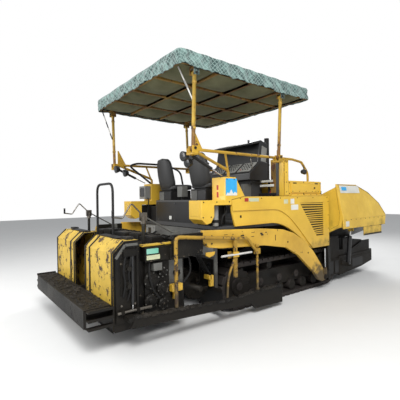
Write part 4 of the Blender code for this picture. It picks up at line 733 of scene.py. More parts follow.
    def mesh(self, name: str, turn_out: bool = True) -> bpy.types.Mesh:
        """The piece as a Blender mesh with its material slots."""
        made = bpy.data.meshes.new(name)
        made.from_pydata(np.concatenate(self.points).tolist(), [],
                         [row for block in self.faces for row in block])
        for finish in self.finishes:
            made.materials.append(finish.material())
        made.polygons.foreach_set("material_index", np.concatenate(self.marks))
        if turn_out:
            work = bmesh.new()
            work.from_mesh(made)
            bmesh.ops.remove_doubles(work, verts=work.verts, dist=WELD)
            bmesh.ops.recalc_face_normals(work, faces=work.faces)
            work.to_mesh(made)
            work.free()
        made.update()
        return made

    def build(self, name: str, body: str, slot: str | None = None, bevel: float = 0.0,
              segments: int = 1, sharp: float = 32.0, stands_for: Sequence[str] = ()) \
            -> bpy.types.Object:
        """Make the object, ride it on its body and finish its edges.

        Args:
            name: The piece's name.
            body: The CAD body it moves with.
            slot: Not used.
            bevel: Width of the rounded edges.
            segments: Steps in each rounded edge.
            sharp: Angle in degrees above which an edge stays sharp.
            stands_for: CAD nodes that it replaces.

        Returns:
            The object.
        """
        return settle(name, self.mesh(name), body, bevel, segments, sharp, stands_for)


def settle(name: str, mesh: bpy.types.Mesh, body: str, bevel: float,
           segments: int, sharp: float, stands_for: Sequence[str]) -> bpy.types.Object:
    """Link a mesh as a piece: shading, edge rounding, body and replaced nodes."""
    mesh.shade_smooth()
    mesh.set_sharp_from_angle(angle=math.radians(sharp))
    piece = bpy.data.objects.new(name, mesh)
    bpy.context.scene.collection.objects.link(piece)
    if bevel:
        rounding = piece.modifiers.new("edges", "BEVEL")
        rounding.width = bevel
        rounding.segments = segments
        rounding.limit_method = "ANGLE"
        rounding.angle_limit = math.radians(sharp)
        rounding.use_clamp_overlap = False
        rounding.harden_normals = False
    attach(piece, body)
    if stands_for:
        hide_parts(*stands_for)
    LOG.info("%s rides on %s", name, body)
    return piece


Chooser = Callable[[np.ndarray, np.ndarray], np.ndarray]


def refined(node: str, body: str, finishes: Sequence[Look],
            choose: Chooser | None = None, bevel: float = 0.004, segments: int = 2,
            sharp: float = 32.0) -> bpy.types.Object:
    """A copy of a CAD node with doubles merged, flat faces joined and edges rounded.

    Args:
        node: The CAD node, which the copy stands for.
        body: Its body.
        finishes: The copy's finishes.
        choose: Takes face centres and normals and gives each face's finish number.
        bevel: Width of the rounded edges.
        segments: Steps in each rounded edge.
        sharp: Angle above which an edge stays sharp.

    Returns:
        The copy.
    """
    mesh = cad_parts[node].data.copy()
    mesh.name = node + "_shell"
    work = bmesh.new()
    work.from_mesh(mesh)
    bmesh.ops.remove_doubles(work, verts=work.verts, dist=WELD)
    bmesh.ops.dissolve_limit(work, angle_limit=FLAT_ANGLE, verts=work.verts,
                             edges=work.edges)
    work.to_mesh(mesh)
    work.free()
    mesh.materials.clear()
    for finish in finishes:
        mesh.materials.append(finish.material())
    count = len(mesh.polygons)
    marks = np.zeros(count, np.int32)
    if choose:
        centres, normals = np.zeros(count * 3), np.zeros(count * 3)
        mesh.polygons.foreach_get("center", centres)
        mesh.polygons.foreach_get("normal", normals)
        marks = choose(centres.reshape(-1, 3), normals.reshape(-1, 3)).astype(np.int32)
    mesh.polygons.foreach_set("material_index", marks)
    return settle(node + "_shell", mesh, body, bevel, segments, sharp, (node,))


# ============================================================================================
# tractor
# ============================================================================================

COVER_FACE = 1.2
DECK_TOP = 1.30


def both() -> tuple[Side, Side]:
    """The two sides in building order."""
    return Side.RIGHT, Side.LEFT


def row(start: Point, end: Point, count: int) -> np.ndarray:
    """Evenly spaced points from start to end."""
    t = np.linspace(0.0, 1.0, count)[:, None]
    return np.array(start, float) * (1 - t) + np.array(end, float) * t


@dataclass
class SideCovers:
    """The yellow side covers with their pressed band, louvres and blank labels."""

    rear: float = -1.265
    front: float = 1.265
    crest: float = 1.52
    foot: float = 0.782
    top: float = 1.728
    slats: int = 15

    def curve(self, start: float, end: float, low: float, high: float, wave: float,
              count: int = 15) -> np.ndarray:
        """An edge in side view: height falls from high to low along (1 - cos) of a part wave."""
        t = np.linspace(0.0, 1.0, count)
        fall = (1 - np.cos(math.pi * wave * t)) / (1 - math.cos(math.pi * wave))
        return np.stack([start + (end - start) * t, high + (low - high) * fall], axis=-1)

    def build_side(self, side: Side) -> None:
        """Build one cover.

        Args:
            side: Which side.
        """
        s = side.value
        cover = Shape(BODY_YELLOW)
        arch = self.curve(-0.405, 0.695, self.foot, 1.30, 0.62)
        edge = self.curve(-0.36, 0.735, self.foot + 0.002, self.crest, 0.66)
        for reach, inner, outer in ((self.front, 1.173, 1.183), (self.front - 0.107, 1.151, 1.174)):
            back = [(self.rear + 0.07, 1.292), *arch.tolist(), (reach, self.foot),
                    (reach, self.top), (self.rear + 0.26, self.top),
                    (self.rear, self.top - 0.05), (self.rear + 0.01, 1.51)]
            cover.plate("xz", back, s * inner, s * outer)
        cover.box((self.front - 0.053, s * 1.151, self.foot),
                  (self.front, s * 1.174, self.top))
        raised = [(self.rear + 0.012, self.crest), *edge.tolist(), (self.front, self.foot + 0.002),
                  (self.front, 0.995), (1.075, 0.995), (0.852, 0.995), (0.352, 1.612),
                  (1.083, 1.612), (1.083, 0.995), (self.front, 0.996), (self.front, self.top),
                  (self.rear + 0.26, self.top), (self.rear, self.top - 0.05)]
        cover.plate("xz", raised, s * 1.182, s * COVER_FACE)
        lip = np.stack([arch[:, 0], np.full(len(arch), s * 1.190), arch[:, 1] + 0.008], axis=-1)
        lip = np.concatenate([[[self.rear + 0.07, s * 1.190, 1.30]], lip])
        cover.sweep(lip, 0.0085, 8)
        cover.bolts(row((-1.10, s * COVER_FACE, 1.70), (1.20, s * COVER_FACE, 1.70), 6),
                    (0, s, 0), 0.010, 0.006, BLACK_PAINT)
        cover.bolts(row((1.235, s * COVER_FACE, 0.86), (1.235, s * COVER_FACE, 1.62), 4),
                    (0, s, 0), 0.010, 0.006, BLACK_PAINT)
        cover.box((-1.095, s * 1.1835, 1.415), (-1.065, s * 1.1855, 1.452), BLACK_PAINT)
        cover.build("side_cover_" + side.word + "_shell", "tractor", "yellow_paint", 0.004, 2,
                    stands_for=("side_cover_" + side.word,))
        self.build_louvres(side)
        self.build_labels(side)

    def build_louvres(self, side: Side) -> None:
        """Slats across the trapezoid mouth: its slanted rear edge sets where each one starts. A
        black sheet behind them is painted shade of the opening.
        """
        s = side.value
        grille = Shape(BODY_YELLOW)
        heights = np.linspace(1.035, 1.590, self.slats)
        for height in heights:
            start = 0.352 + (1.600 - height) / (1.612 - 0.995) * 0.500 + 0.004
            wave = 0.010 * math.sin(height * 21.0)
            grille.plate("xz", [(start, height - 0.012 + wave), (1.080, height - 0.012),
                                (1.080, height + 0.006), (start, height + 0.006 + wave)],
                         s * 1.179, s * 1.197)
        # Painted shade: a black sheet over the back plate stands for the dark opening behind the
        # slats.
        grille.plate("xz", [(0.862, 1.000), (1.078, 1.000), (1.078, 1.606), (0.372, 1.606)],
                     s * 1.1836, s * 1.1845, FRAME_BLACK)
        grille.build("louvres_" + side.word, "tractor", "yellow_paint")

    def build_labels(self, side: Side) -> None:
        """Blank labels near the top edge."""
        s = side.value
        labels = Shape(WHITE_PANEL)
        face, proud = s * COVER_FACE, s * (COVER_FACE + 0.0012)
        labels.box((-0.09, face, 1.605), (0.02, proud, 1.675), CREAM_PANEL)
        labels.box((0.09, face, 1.60), (0.19, proud, 1.685), WHITE_PANEL)
        labels.box((0.10, face, 1.495), (0.30, proud, 1.585), WHITE_PANEL)
        labels.box((-1.01, face, 1.652), (-0.93, proud, 1.705), RED_PAINT)
        labels.box((-0.92, face, 1.652), (-0.70, proud, 1.705), CREAM_PANEL)
        labels.build("cover_labels_" + side.word, "tractor")

    def build(self) -> None:
        """Build both covers."""
        for side in both():
            self.build_side(side)


@dataclass
class Hood:
    """The housing over the engine, with its lid, service flaps and exhaust."""

    half: float = 1.10
    low: float = 1.7303

    def build(self) -> None:
        """Build the housing, the lid, both flaps and the stack."""
        refined("engine_hood", "tractor", [HOOD_YELLOW, FRAME_BLACK],
                lambda c, n: ((np.abs(c[:, 1]) < 1.085) & (c[:, 2] < 1.985)
                              & (c[:, 0] > 0.17) & (c[:, 0] < 1.15)).astype(int), 0.005)
        trim = Shape(HOOD_YELLOW)
        for side in both():
            s = side.value
            trim.box((0.60, s * 1.0995, 1.752), (0.612, s * 1.106, 1.995), BLACK_PAINT)
            trim.bolts(row((0.20, s * self.half, 1.775), (0.20, s * self.half, 1.965), 2),
                       (0, s, 0), 0.011, 0.006, BLACK_PAINT)
            trim.bolts(row((1.135, s * self.half, 1.775), (1.135, s * self.half, 1.965), 2),
                       (0, s, 0), 0.011, 0.006, BLACK_PAINT)
            trim.box((0.30, s * self.half, 1.905), (0.40, s * 1.1012, 1.935), WHITE_PANEL)
            trim.bolts(row((0.19, s * 1.14, 1.751), (1.15, s * 1.14, 1.751), 6), (0, 0, 1),
                       0.010, 0.006, BLACK_PAINT)
        trim.plate("xz", [(1.163, 1.752), (1.200, 1.752), (1.166, 1.85)], -1.0, -0.985)
        trim.plate("xz", [(1.163, 1.752), (1.200, 1.752), (1.166, 1.85)], 0.985, 1.0)
        for y in np.linspace(-0.9, 0.9, 7).tolist():
            trim.box((1.166, y - 0.10, 1.79), (1.171, y + 0.10, 1.80), FRAME_BLACK)
            trim.box((1.166, y - 0.10, 1.83), (1.171, y + 0.10, 1.84), FRAME_BLACK)
        trim.build("hood_trim", "tractor", "yellow_paint", 0.002)
        self.build_lid()
        for side in both():
            self.build_flap(side)
        self.build_stack()

    def build_lid(self) -> None:
        """The lid with pressed ribs, two hinges and a handle."""
        refined("hood_lid", "hood_lid", [HOOD_YELLOW], None, 0.004)
        detail = Shape(HOOD_YELLOW)
        for y in (-0.50, -0.17, 0.17, 0.50):
            detail.box((0.42, y - 0.03, 2.019), (1.05, y + 0.03, 2.027))
        for y in (-0.45, 0.45):
            detail.rod((1.135, y - 0.06, 2.015), (1.135, y + 0.06, 2.015), 0.0175, BLACK_PAINT)
        detail.tube([(0.37, -0.10, 2.018), (0.37, -0.10, 2.055), (0.37, 0.10, 2.055),
                     (0.37, 0.10, 2.018)], 0.008, BLACK_PAINT, 0.02)
        detail.build("hood_lid_detail", "hood_lid", "yellow_paint", 0.003)

    def build_flap(self, side: Side) -> None:
        """A service flap: panel, rim, latch recess and hinge knuckles."""
        s = side.value
        body = "hood_door_" + side.word
        refined(body, body, [HOOD_YELLOW], None, 0.003)
        detail = Shape(HOOD_YELLOW)
        detail.box((0.86, s * 1.1148, 1.845), (1.055, s * 1.1185, 1.925))
        detail.box((0.90, s * 1.118, 1.862), (0.945, s * 1.1205, 1.892), BLACK_PAINT)
        for x in (0.33, 0.99):
            detail.rod((x - 0.05, s * 1.109, 1.958), (x + 0.05, s * 1.109, 1.958), 0.0115,
                       BLACK_PAINT, 10)
        detail.bolts(row((0.27, s * 1.115, 1.815), (1.05, s * 1.115, 1.815), 5), (0, s, 0),
                     0.009, 0.005, BLACK_PAINT)
        detail.build(body + "_detail", body, "yellow_paint", 0.0015)

    def build_stack(self) -> None:
        """The exhaust: a turned stack with a bolted foot and a clamp."""
        stack = Shape(BLACK_PAINT)
        stack.lathe((0.245, -0.56, 2.0005), (0, 0, 1),
                    [(0.0, 0.075), (0.018, 0.075), (0.020, 0.045), (0.30, 0.045),
                     (0.302, 0.050), (0.335, 0.050), (0.337, 0.045), (0.80, 0.045),
                     (0.818, 0.043), (0.818, 0.037), (0.62, 0.036)], 24)
        stack.bolts([(0.245 + 0.062 * math.cos(a), -0.56 + 0.062 * math.sin(a), 2.018)
                     for a in np.linspace(0.4, 5.1, 4).tolist()], (0, 0, 1), 0.009, 0.007)
        stack.build("exhaust_shell", "tractor", "black_steel", sharp=40.0,
                    stands_for=("exhaust_stack",))


@dataclass
class RearBoxes:
    """The stepped yellow boxes beside the platform, and what is mounted on them."""

    face: float = -1.395

    def build(self) -> None:
        """Build both boxes."""
        for side in both():
            # Faces below 1.605 forward of x -1.56 are black: painted shade of the recess below the
            # box.
            refined("rear_box_" + side.word, "tractor",
                    [BODY_YELLOW, FRAME_BLACK],
                    lambda c, n: ((c[:, 2] < 1.605) & (c[:, 0] > -1.56)).astype(int), 0.006, 3)
            self.build_trim(side)
        self.build_right()
        self.build_left()

    def build_trim(self, side: Side) -> None:
        """Rims, bolts, and a black block that is painted shade in the recess below a box."""
        s = side.value
        trim = Shape(BODY_YELLOW)
        trim.bolts(row((-1.36, s * 1.2, 1.98), (-1.22, s * 1.2, 1.98), 2), (0, s, 0), 0.010,
                   0.006, BLACK_PAINT)
        trim.bolts(row((-1.79, s * 1.2, 1.655), (-1.32, s * 1.2, 1.655), 3), (0, s, 0), 0.010,
                   0.006, BLACK_PAINT)
        trim.bolts([(-1.80, s * 1.2, 1.45), (-1.66, s * 1.2, 1.45)], (0, s, 0), 0.010, 0.006,
                   BLACK_PAINT)
        trim.box((-1.826, s * 0.95, 1.46), (-1.829, s * 1.16, 1.64))
        # Painted shade: a black block fills the recess below the box.
        trim.box((-1.57, s * 0.96, 1.32), (-1.28, s * 1.05, 1.605), FRAME_BLACK)
        trim.rod((-1.475, s * 1.07, 1.31), (-1.475, s * 1.07, 1.60), 0.045, PANEL_GREY, 18)
        trim.rod((-1.475, s * 1.07, 1.36), (-1.475, s * 1.07, 1.40), 0.052, BLACK_PAINT, 18)
        trim.tube([(-1.40, s * 1.10, 1.31), (-1.38, s * 1.12, 1.45), (-1.30, s * 1.12, 1.50),
                   (-1.29, s * 1.08, 1.60)], 0.014, RUBBER, 0.06)
        trim.build("rear_box_trim_" + side.word, "tractor", "yellow_paint", 0.002)

    def build_right(self) -> None:
        """The right box's blue panel, pale corner labels and small red marks."""
        panel = Shape(BLUE_PANEL)
        panel.box((-1.385, -1.2, 1.745), (-1.165, -1.2015, 1.99))
        panel.plate("xz", [(-1.385, 1.745), (-1.165, 1.745), (-1.165, 1.775), (-1.21, 1.80),
                           (-1.24, 1.77), (-1.28, 1.835), (-1.32, 1.775), (-1.35, 1.79)],
                    -1.2012, -1.2022, WHITE_PANEL)
        panel.box((self.face, -1.055, 1.72), (self.face - 0.0015, -1.015, 1.80), RED_PAINT)
        panel.box((self.face, -1.055, 1.83), (self.face - 0.0015, -1.015, 1.90), RED_PAINT)
        panel.box((self.face, -1.165, 1.74), (self.face - 0.001, -1.075, 1.97), HOOD_YELLOW)
        panel.build("right_box_panel", "tractor")

    def build_left(self) -> None:
        """The left box's electrical cabinet, switch plate and cable."""
        cabinet = Shape(PANEL_GREY)
        cabinet.box((-1.52, 0.93, 1.72), (-1.40, 1.16, 1.965))
        cabinet.box((-1.523, 0.955, 1.765), (-1.519, 1.10, 1.93), DARK_GLASS)
        cabinet.box((-1.5235, 1.11, 1.77), (-1.519, 1.145, 1.92), MID_GREY)
        cabinet.box((-1.8285, 0.96, 1.49), (-1.825, 1.12, 1.63), DARK_GLASS)
        for z in (1.515, 1.545, 1.575, 1.605):
            cabinet.rod((-1.828, 1.04, z), (-1.838, 1.04, z), 0.009, WHITE_PANEL, 10)
        cabinet.tube([(-1.46, 0.93, 1.74), (-1.46, 0.90, 1.70), (-1.50, 0.88, 1.40),
                      (-1.44, 0.88, 1.32)], 0.010, RUBBER, 0.05)
        cabinet.build("left_box_cabinet", "tractor", "dark_grey", 0.006, 2)


@dataclass
class Platform:
    """The operators' deck, its bulkhead, guard panel, grab hoop and small fittings."""

    def build(self) -> None:
        """Build the deck and what stands on it."""
        refined("operator_platform", "tractor", [DARK_GREY, FRAME_BLACK, BODY_YELLOW],
                lambda c, n: np.where((c[:, 0] > 0.10) & (c[:, 2] > 1.36), 2,
                                      np.where(c[:, 2] < 1.24, 1, 0)), 0.004)
        fit = Shape(DARK_GREY)
        studs = np.array([(x, y, DECK_TOP) for x in np.arange(-1.38, -0.45, 0.085)
                          for y in np.arange(-0.80, 0.81, 0.10)])
        points, faces = self.stud()
        fit.copies(points, faces, studs, DARK_GREY)
        fit.box((-1.4635, -0.60, 1.32), (-1.460, 0.60, 1.66), GLOSS_BLACK)
        for y in (-0.52, 0.0, 0.52):
            fit.bolts([(-1.4635, y, 1.35), (-1.4635, y, 1.63)], (-1, 0, 0), 0.012, 0.008)
        fit.box((-1.4665, 0.10, 1.36), (-1.463, 0.17, 1.42), WHITE_PANEL)
        fit.box((-1.43, 0.62, 1.30), (-1.25, 0.86, 1.58), BLACK_PAINT)
        fit.box((-1.43, -0.86, 1.30), (-1.25, -0.62, 1.58), BLACK_PAINT)
        for side in both():
            s = side.value
            fit.box((-1.458, s * 0.66, 1.24), (-1.40, s * 1.10, 1.30), FRAME_BLACK)
            fit.tube([(-0.80, s * 1.135, 1.30), (-0.80, s * 1.135, 1.72)], 0.016, BLACK_PAINT)
            fit.bolts(row((0.108, s * 0.95, 1.36), (0.108, s * 0.95, 1.70), 3), (-1, 0, 0),
                      0.010, 0.006, BLACK_PAINT)
        fit.tube([(-1.32, 1.03, 2.012), (-1.78, 1.05, 2.345), (-1.62, 1.05, 2.40),
                  (-0.95, 1.04, 2.40), (-0.62, 1.04, 2.28), (-0.42, 1.04, 1.302)], 0.019,
                 BLACK_PAINT, 0.10)
        fit.build("platform_fittings", "tractor", "dark_grey", 0.0)

    def stud(self) -> tuple[np.ndarray, np.ndarray]:
        """One raised diamond of the tread plate: a flat four-sided pyramid cut at its top."""
        base = np.array([[0.022, 0, 0], [0, 0.008, 0], [-0.022, 0, 0], [0, -0.008, 0]])
        points = np.concatenate([base - (0, 0, 0.001), base * 0.7 + (0, 0, 0.003)])
        faces = np.array([[0, 1, 5, 4], [1, 2, 6, 5], [2, 3, 7, 6], [3, 0, 4, 7], [4, 5, 6, 7],
                          [3, 2, 1, 0]])
        return points, faces


@dataclass
class Seats:
    """Two operators' seats: padded cushion and curved back on a box with grey panels."""

    x: float = -1.12
    y: float = 0.50
    base_top: float = 1.86

    def pad(self, rows: int, centre: np.ndarray, across: np.ndarray, thick: np.ndarray,
            half: np.ndarray, depth: np.ndarray) -> np.ndarray:
        """A pillow swept along a line: each section is a rounded box.

        A section is sign(cos a) |cos a|^0.45 across and sign(sin a) |sin a|^0.45 through, so
        that its corners are round, and it shrinks to a point at both ends.

        Args:
            rows: Sections along the line.
            centre: Middle of each section.
            across: Direction across the pad.
            thick: Direction through the pad at each section.
            half: Half width of each section.
            depth: Half depth of each section.

        Returns:
            The grid of points.
        """
        angle = np.linspace(0.0, 2 * math.pi, 36, endpoint=False)
        wide = np.sign(np.cos(angle)) * np.abs(np.cos(angle)) ** 0.45
        deep = np.sign(np.sin(angle)) * np.abs(np.sin(angle)) ** 0.45
        share = np.linspace(-1.0, 1.0, rows)
        taper = (1 - np.abs(share) ** 7) ** (1 / 3)
        puff = 1 + 0.05 * np.cos(math.pi * wide / 2)[None]
        return (centre[:, None] + (taper * half)[:, None, None] * wide[None, :, None] * across
                + ((taper * depth)[:, None] * deep[None] * puff)[:, :, None] * thick[:, None])

    def build_side(self, side: Side) -> None:
        """Build one seat."""
        s = side.value
        name = "operator_seat_" + side.word
        middle = s * self.y
        across = np.array([0.0, 1.0, 0.0])
        rows = 26
        t = np.linspace(0.0, 1.0, rows)[:, None]
        seat = Shape(VINYL)
        line = np.array([self.x - 0.22, middle, self.base_top + 0.055]) + t * [0.49, 0.0, 0.010]
        thick = np.broadcast_to([0.0, 0.0, 1.0], (rows, 3))
        seat.grid(self.pad(rows, line, across, thick, np.full(rows, 0.245),
                           np.full(rows, 0.052)), VINYL, wrap=True)
        cushion = seat.build("seat_cushion_" + side.word, "tractor", "vinyl",
                             stands_for=(name,))
        back = Shape(VINYL)
        lean = np.array([self.x - 0.185, middle, self.base_top + 0.03])
        line = lean + t * [-0.085, 0.0, 0.56] + np.sin(math.pi * t) * [-0.020, 0.0, 0.0]
        thick = unit(np.cross(across, np.gradient(line, axis=0)))
        width = 0.235 - 0.055 * t[:, 0] ** 3
        wings = self.pad(rows, line, across, thick, width, 0.046 + 0 * width)
        curl = np.abs(wings[:, :, 1] - middle) / 0.24
        wings[:, :, 0] += 0.055 * curl ** 2.2
        back.grid(wings, VINYL, wrap=True)
        back.build("seat_back_" + side.word, "tractor", "vinyl")
        base = Shape(DARK_GREY)
        base.box((self.x - 0.20, middle - 0.17, 1.3004), (self.x + 0.20, middle + 0.17, 1.70))
        base.box((self.x - 0.22, middle - 0.20, 1.60), (self.x + 0.22, middle + 0.20, 1.865),
                 BLACK_PAINT)
        base.box((self.x - 0.223, middle - 0.19, 1.64), (self.x - 0.219, middle + 0.02, 1.84),
                 GLOSS_BLACK)
        base.box((self.x - 0.223, middle + 0.03, 1.66), (self.x - 0.219, middle + 0.19, 1.84),
                 MID_GREY)
        base.rod((self.x - 0.16, middle + 0.22, 1.92), (self.x - 0.16, middle + 0.22, 2.06),
                 0.016, BLACK_PAINT)
        base.box((self.x - 0.20, middle + 0.195, 2.06), (self.x + 0.10, middle + 0.245, 2.10),
                 VINYL)
        base.build("seat_base_" + side.word, "tractor", "dark_grey", 0.006, 2)

    def build(self) -> None:
        """Build both seats and the small box between them."""
        for side in both():
            self.build_side(side)
        small = Shape(MID_GREY)
        small.box((-1.42, -0.16, 1.74), (-1.30, -0.02, 1.92))
        small.rod((-1.36, -0.09, 1.302), (-1.36, -0.09, 1.745), 0.016, BLACK_PAINT)
        small.tube([(-1.36, -0.03, 1.76), (-1.37, 0.02, 1.68), (-1.36, 0.0, 1.50),
                    (-1.40, -0.04, 1.33)], 0.008, RUBBER, 0.06)
        small.build("seat_switch_box", "tractor", "dark_grey", 0.005)


@dataclass
class Console:
    """The control desk with its raised cover, switch panels, screens and levers."""

    x: float = -0.19

    def build(self) -> None:
        """Build the desk and its fittings."""
        refined("control_console", "tractor", [GLOSS_BLACK, DARK_GREY],
                lambda c, n: (c[:, 2] < 2.10).astype(int), 0.010, 3)
        desk = Shape(MID_GREY)
        slope = unit(np.array([0.28, 0.0, 0.22]))
        for y, wide in ((-0.54, 0.15), (-0.20, 0.13), (0.14, 0.15)):
            start = np.array([self.x - 0.185, y, 2.172])
            desk.beam(start, start + slope * 0.27, wide * 2, 0.012, PANEL_GREY, (-0.6, 0, 0.8))
            for step in range(4):
                for across in (-0.6, -0.2, 0.2, 0.6):
                    knob = start + slope * (0.05 + 0.055 * step) + [0, across * wide, 0]
                    tip = knob + np.array([-0.62, 0, 0.78]) * 0.022
                    desk.rod(knob, tip, 0.009, RED_PAINT if (step, across) == (0, 0.6)
                             else BLACK_PAINT, 8)
        for y in (-0.72, 0.42):
            desk.rod((self.x - 0.12, y, 2.20), (self.x - 0.18, y, 2.40), 0.008, BRIGHT_STEEL, 8)
            desk.lathe((self.x - 0.18, y, 2.385), (-0.3, 0, 1),
                       [(0, 0.008), (0.010, 0.020), (0.028, 0.024), (0.045, 0.016),
                        (0.050, 0.004)], 12, GLOSS_BLACK)
        desk.plate("xz", [(self.x + 0.10, 2.33), (self.x + 0.235, 2.315), (self.x + 0.27, 2.60),
                          (self.x + 0.14, 2.64)], -0.707, -0.7005, PANEL_GREY)
        desk.bolts([(self.x + 0.13, -0.707, 2.36), (self.x + 0.22, -0.707, 2.35),
                    (self.x + 0.15, -0.707, 2.60)], (0, -1, 0), 0.008, 0.004)
        desk.box((self.x - 0.255, -0.56, 1.42), (self.x - 0.06, -0.62, 1.95), MID_GREY)
        for y in (-0.44, -0.10, 0.22):
            desk.box((self.x - 0.0655, y - 0.12, 1.42), (self.x - 0.059, y + 0.12, 1.98),
                     GLOSS_BLACK)
        desk.tube([(self.x - 0.02, -0.66, 1.50), (self.x + 0.08, -0.78, 1.62),
                   (self.x + 0.20, -0.86, 1.78), (self.x + 0.26, -0.88, 1.96)], 0.036,
                  RED_PAINT, 0.12, 14)
        desk.box((self.x + 0.10, -0.98, 1.90), (self.x + 0.24, -0.68, 1.94), WHITE_PANEL)
        desk.box((self.x + 0.10, -0.96, 1.98), (self.x + 0.24, -0.70, 2.015), WHITE_PANEL)
        desk.box((self.x + 0.09, -1.02, 1.74), (self.x + 0.27, -0.66, 1.79), BLACK_PAINT)
        desk.rod((self.x + 0.17, -0.83, 1.76), (self.x + 0.17, -0.83, 2.03), 0.02, BLACK_PAINT)
        desk.rod((self.x - 0.145, -0.655, 2.66), (self.x - 0.15, -0.655, 2.715), 0.018,
                 GLOSS_BLACK, 12)
        desk.build("console_fittings", "tractor", "dark_grey", 0.0015)


@dataclass
class RunningGear:
    """Crawlers, their frames, the main frame and what closes the tractor's ends."""

    debris: int = 170

    def build(self) -> None:
        """Dress the frames and build the track details."""
        for side in both():
            refined("track_" + side.word, "tractor", [TRACK_STEEL], None, 0.004, 1)
            refined("track_frame_" + side.word, "tractor",
                    [FRAME_BLACK, TRACK_STEEL], lambda c, n: (np.abs(n[:, 1]) < 0.5).astype(int),
                    0.003, 1)
            self.build_links(side)
        refined("main_frame", "tractor", [FRAME_BLACK], None, 0.004, 1)
        refined("conveyor", "tractor", [WALK_STEEL], None, 0.003, 1)
        refined("tractor_rear_panel", "tractor", [MID_GREY], None, 0.004, 1)
        refined("engine_block", "tractor", [DARK_GREY], None, 0.008, 2)
        self.build_rear()

    def build_links(self, side: Side) -> None:
        """Wet crumbs of asphalt on the crawler's upper run and along its frame."""
        s = side.value
        rng = np.random.default_rng(RNG_SEED + s)
        crumbs = Shape(ASPHALT)
        count = self.debris
        place = np.stack([rng.uniform(-1.2, 1.55, count), s * rng.uniform(0.78, 1.03, count),
                          0.716 + rng.uniform(-0.004, 0.006, count)], axis=-1)
        size = rng.uniform(0.008, 0.026, (count, 1)) * [1.5, 1.2, 0.7]
        crumbs.lumps(place, size, rng)
        for x in np.linspace(-1.0, 1.35, 6).tolist():
            crumbs.lathe((x, s * 1.062, 0.36), (0, s, 0),
                         [(-0.012, 0.060), (0.0, 0.062), (0.006, 0.045), (0.006, 0.020),
                          (0.016, 0.018)], 14, TRACK_STEEL)
        crumbs.build("crawler_crumbs_" + side.word, "tractor", "track_steel", sharp=50.0)

    def build_rear(self) -> None:
        """The tractor's rear: plates, hoses, windows and the small yellow bracket."""
        rear = Shape(MID_GREY)
        x = -1.4605
        for side in both():
            s = side.value
            rear.box((x - 0.012, s * 0.66, 0.86), (x, s * 1.00, 1.22), PANEL_GREY)
            rear.box((x - 0.010, s * 0.67, 0.38), (x, s * 1.00, 0.82), FRAME_BLACK)
            rear.box((x - 0.0125, s * 0.72, 0.60), (x - 0.009, s * 0.80, 0.76), DARK_GLASS)
            rear.box((x - 0.0125, s * 0.86, 0.60), (x - 0.009, s * 0.94, 0.76), DARK_GLASS)
            rear.box((x - 0.0135, s * 0.80, 1.00), (x - 0.012, s * 0.90, 1.18), GLOSS_BLACK)
            rear.bolts([(x - 0.012, s * 0.69, 0.90), (x - 0.012, s * 0.97, 0.90),
                        (x - 0.012, s * 0.69, 1.19), (x - 0.012, s * 0.97, 1.19)], (-1, 0, 0),
                       0.012, 0.009)
            rear.box((x - 0.016, s * 0.66, 0.12), (x - 0.006, s * 1.20, 0.42), RUBBER)
            rear.box((x - 0.022, s * 0.66, 0.38), (x - 0.016, s * 1.20, 0.43), FRAME_BLACK)
            rear.box((x - 0.07, s * 0.96, 0.44), (x - 0.012, s * 1.01, 0.60), ARM_YELLOW)
            rear.box((x - 0.09, s * 0.88, 0.54), (x - 0.05, s * 1.01, 0.60), ARM_YELLOW)
            for step in range(3):
                y = s * (0.70 + 0.05 * step)
                rear.tube([(x - 0.01, y, 1.06), (x - 0.10, y + s * 0.03, 1.02 - 0.02 * step),
                           (x - 0.16, y + s * 0.08, 0.86), (x - 0.08, y + s * 0.16, 0.66),
                           (x - 0.012, y + s * 0.18, 0.56)], 0.013, RUBBER, 0.10)
            rear.tube([(x - 0.01, s * 0.62, 1.12), (x - 0.14, s * 0.52, 1.10),
                       (x - 0.14, s * 0.24, 1.06), (x - 0.01, s * 0.16, 1.00)], 0.014, RUBBER,
                      0.10)
        rear.box((x - 0.015, -0.60, 0.83), (x, 0.60, 0.87), FRAME_BLACK)
        rear.box((x - 0.012, -0.50, 0.92), (x, 0.50, 1.18), MID_GREY)
        rear.bolts(row((x - 0.012, -0.45, 1.15), (x - 0.012, 0.45, 1.15), 6), (-1, 0, 0),
                   0.011, 0.008)
        rear.build("tractor_rear_detail", "tractor", "grey_steel", 0.002)


@dataclass
class Augers:
    """The two augers and the gearbox that holds them."""

    def build(self) -> None:
        """Dress the augers and add the gearbox's bolts."""
        refined("auger_gearbox", "tractor", [OILY_CAST], None, 0.006, 2)
        for side in both():
            name = "auger_" + side.word
            refined(name, name, [WALK_STEEL], None, 0.0, 1, 50.0)
        chain = Shape(OILY_CAST)
        for z in np.linspace(0.62, 0.98, 6).tolist():
            chain.bolts([(-1.52, -0.075, z), (-1.52, 0.075, z)], (-1, 0, 0), 0.012, 0.010)
        chain.build("auger_gearbox_bolts", "tractor")


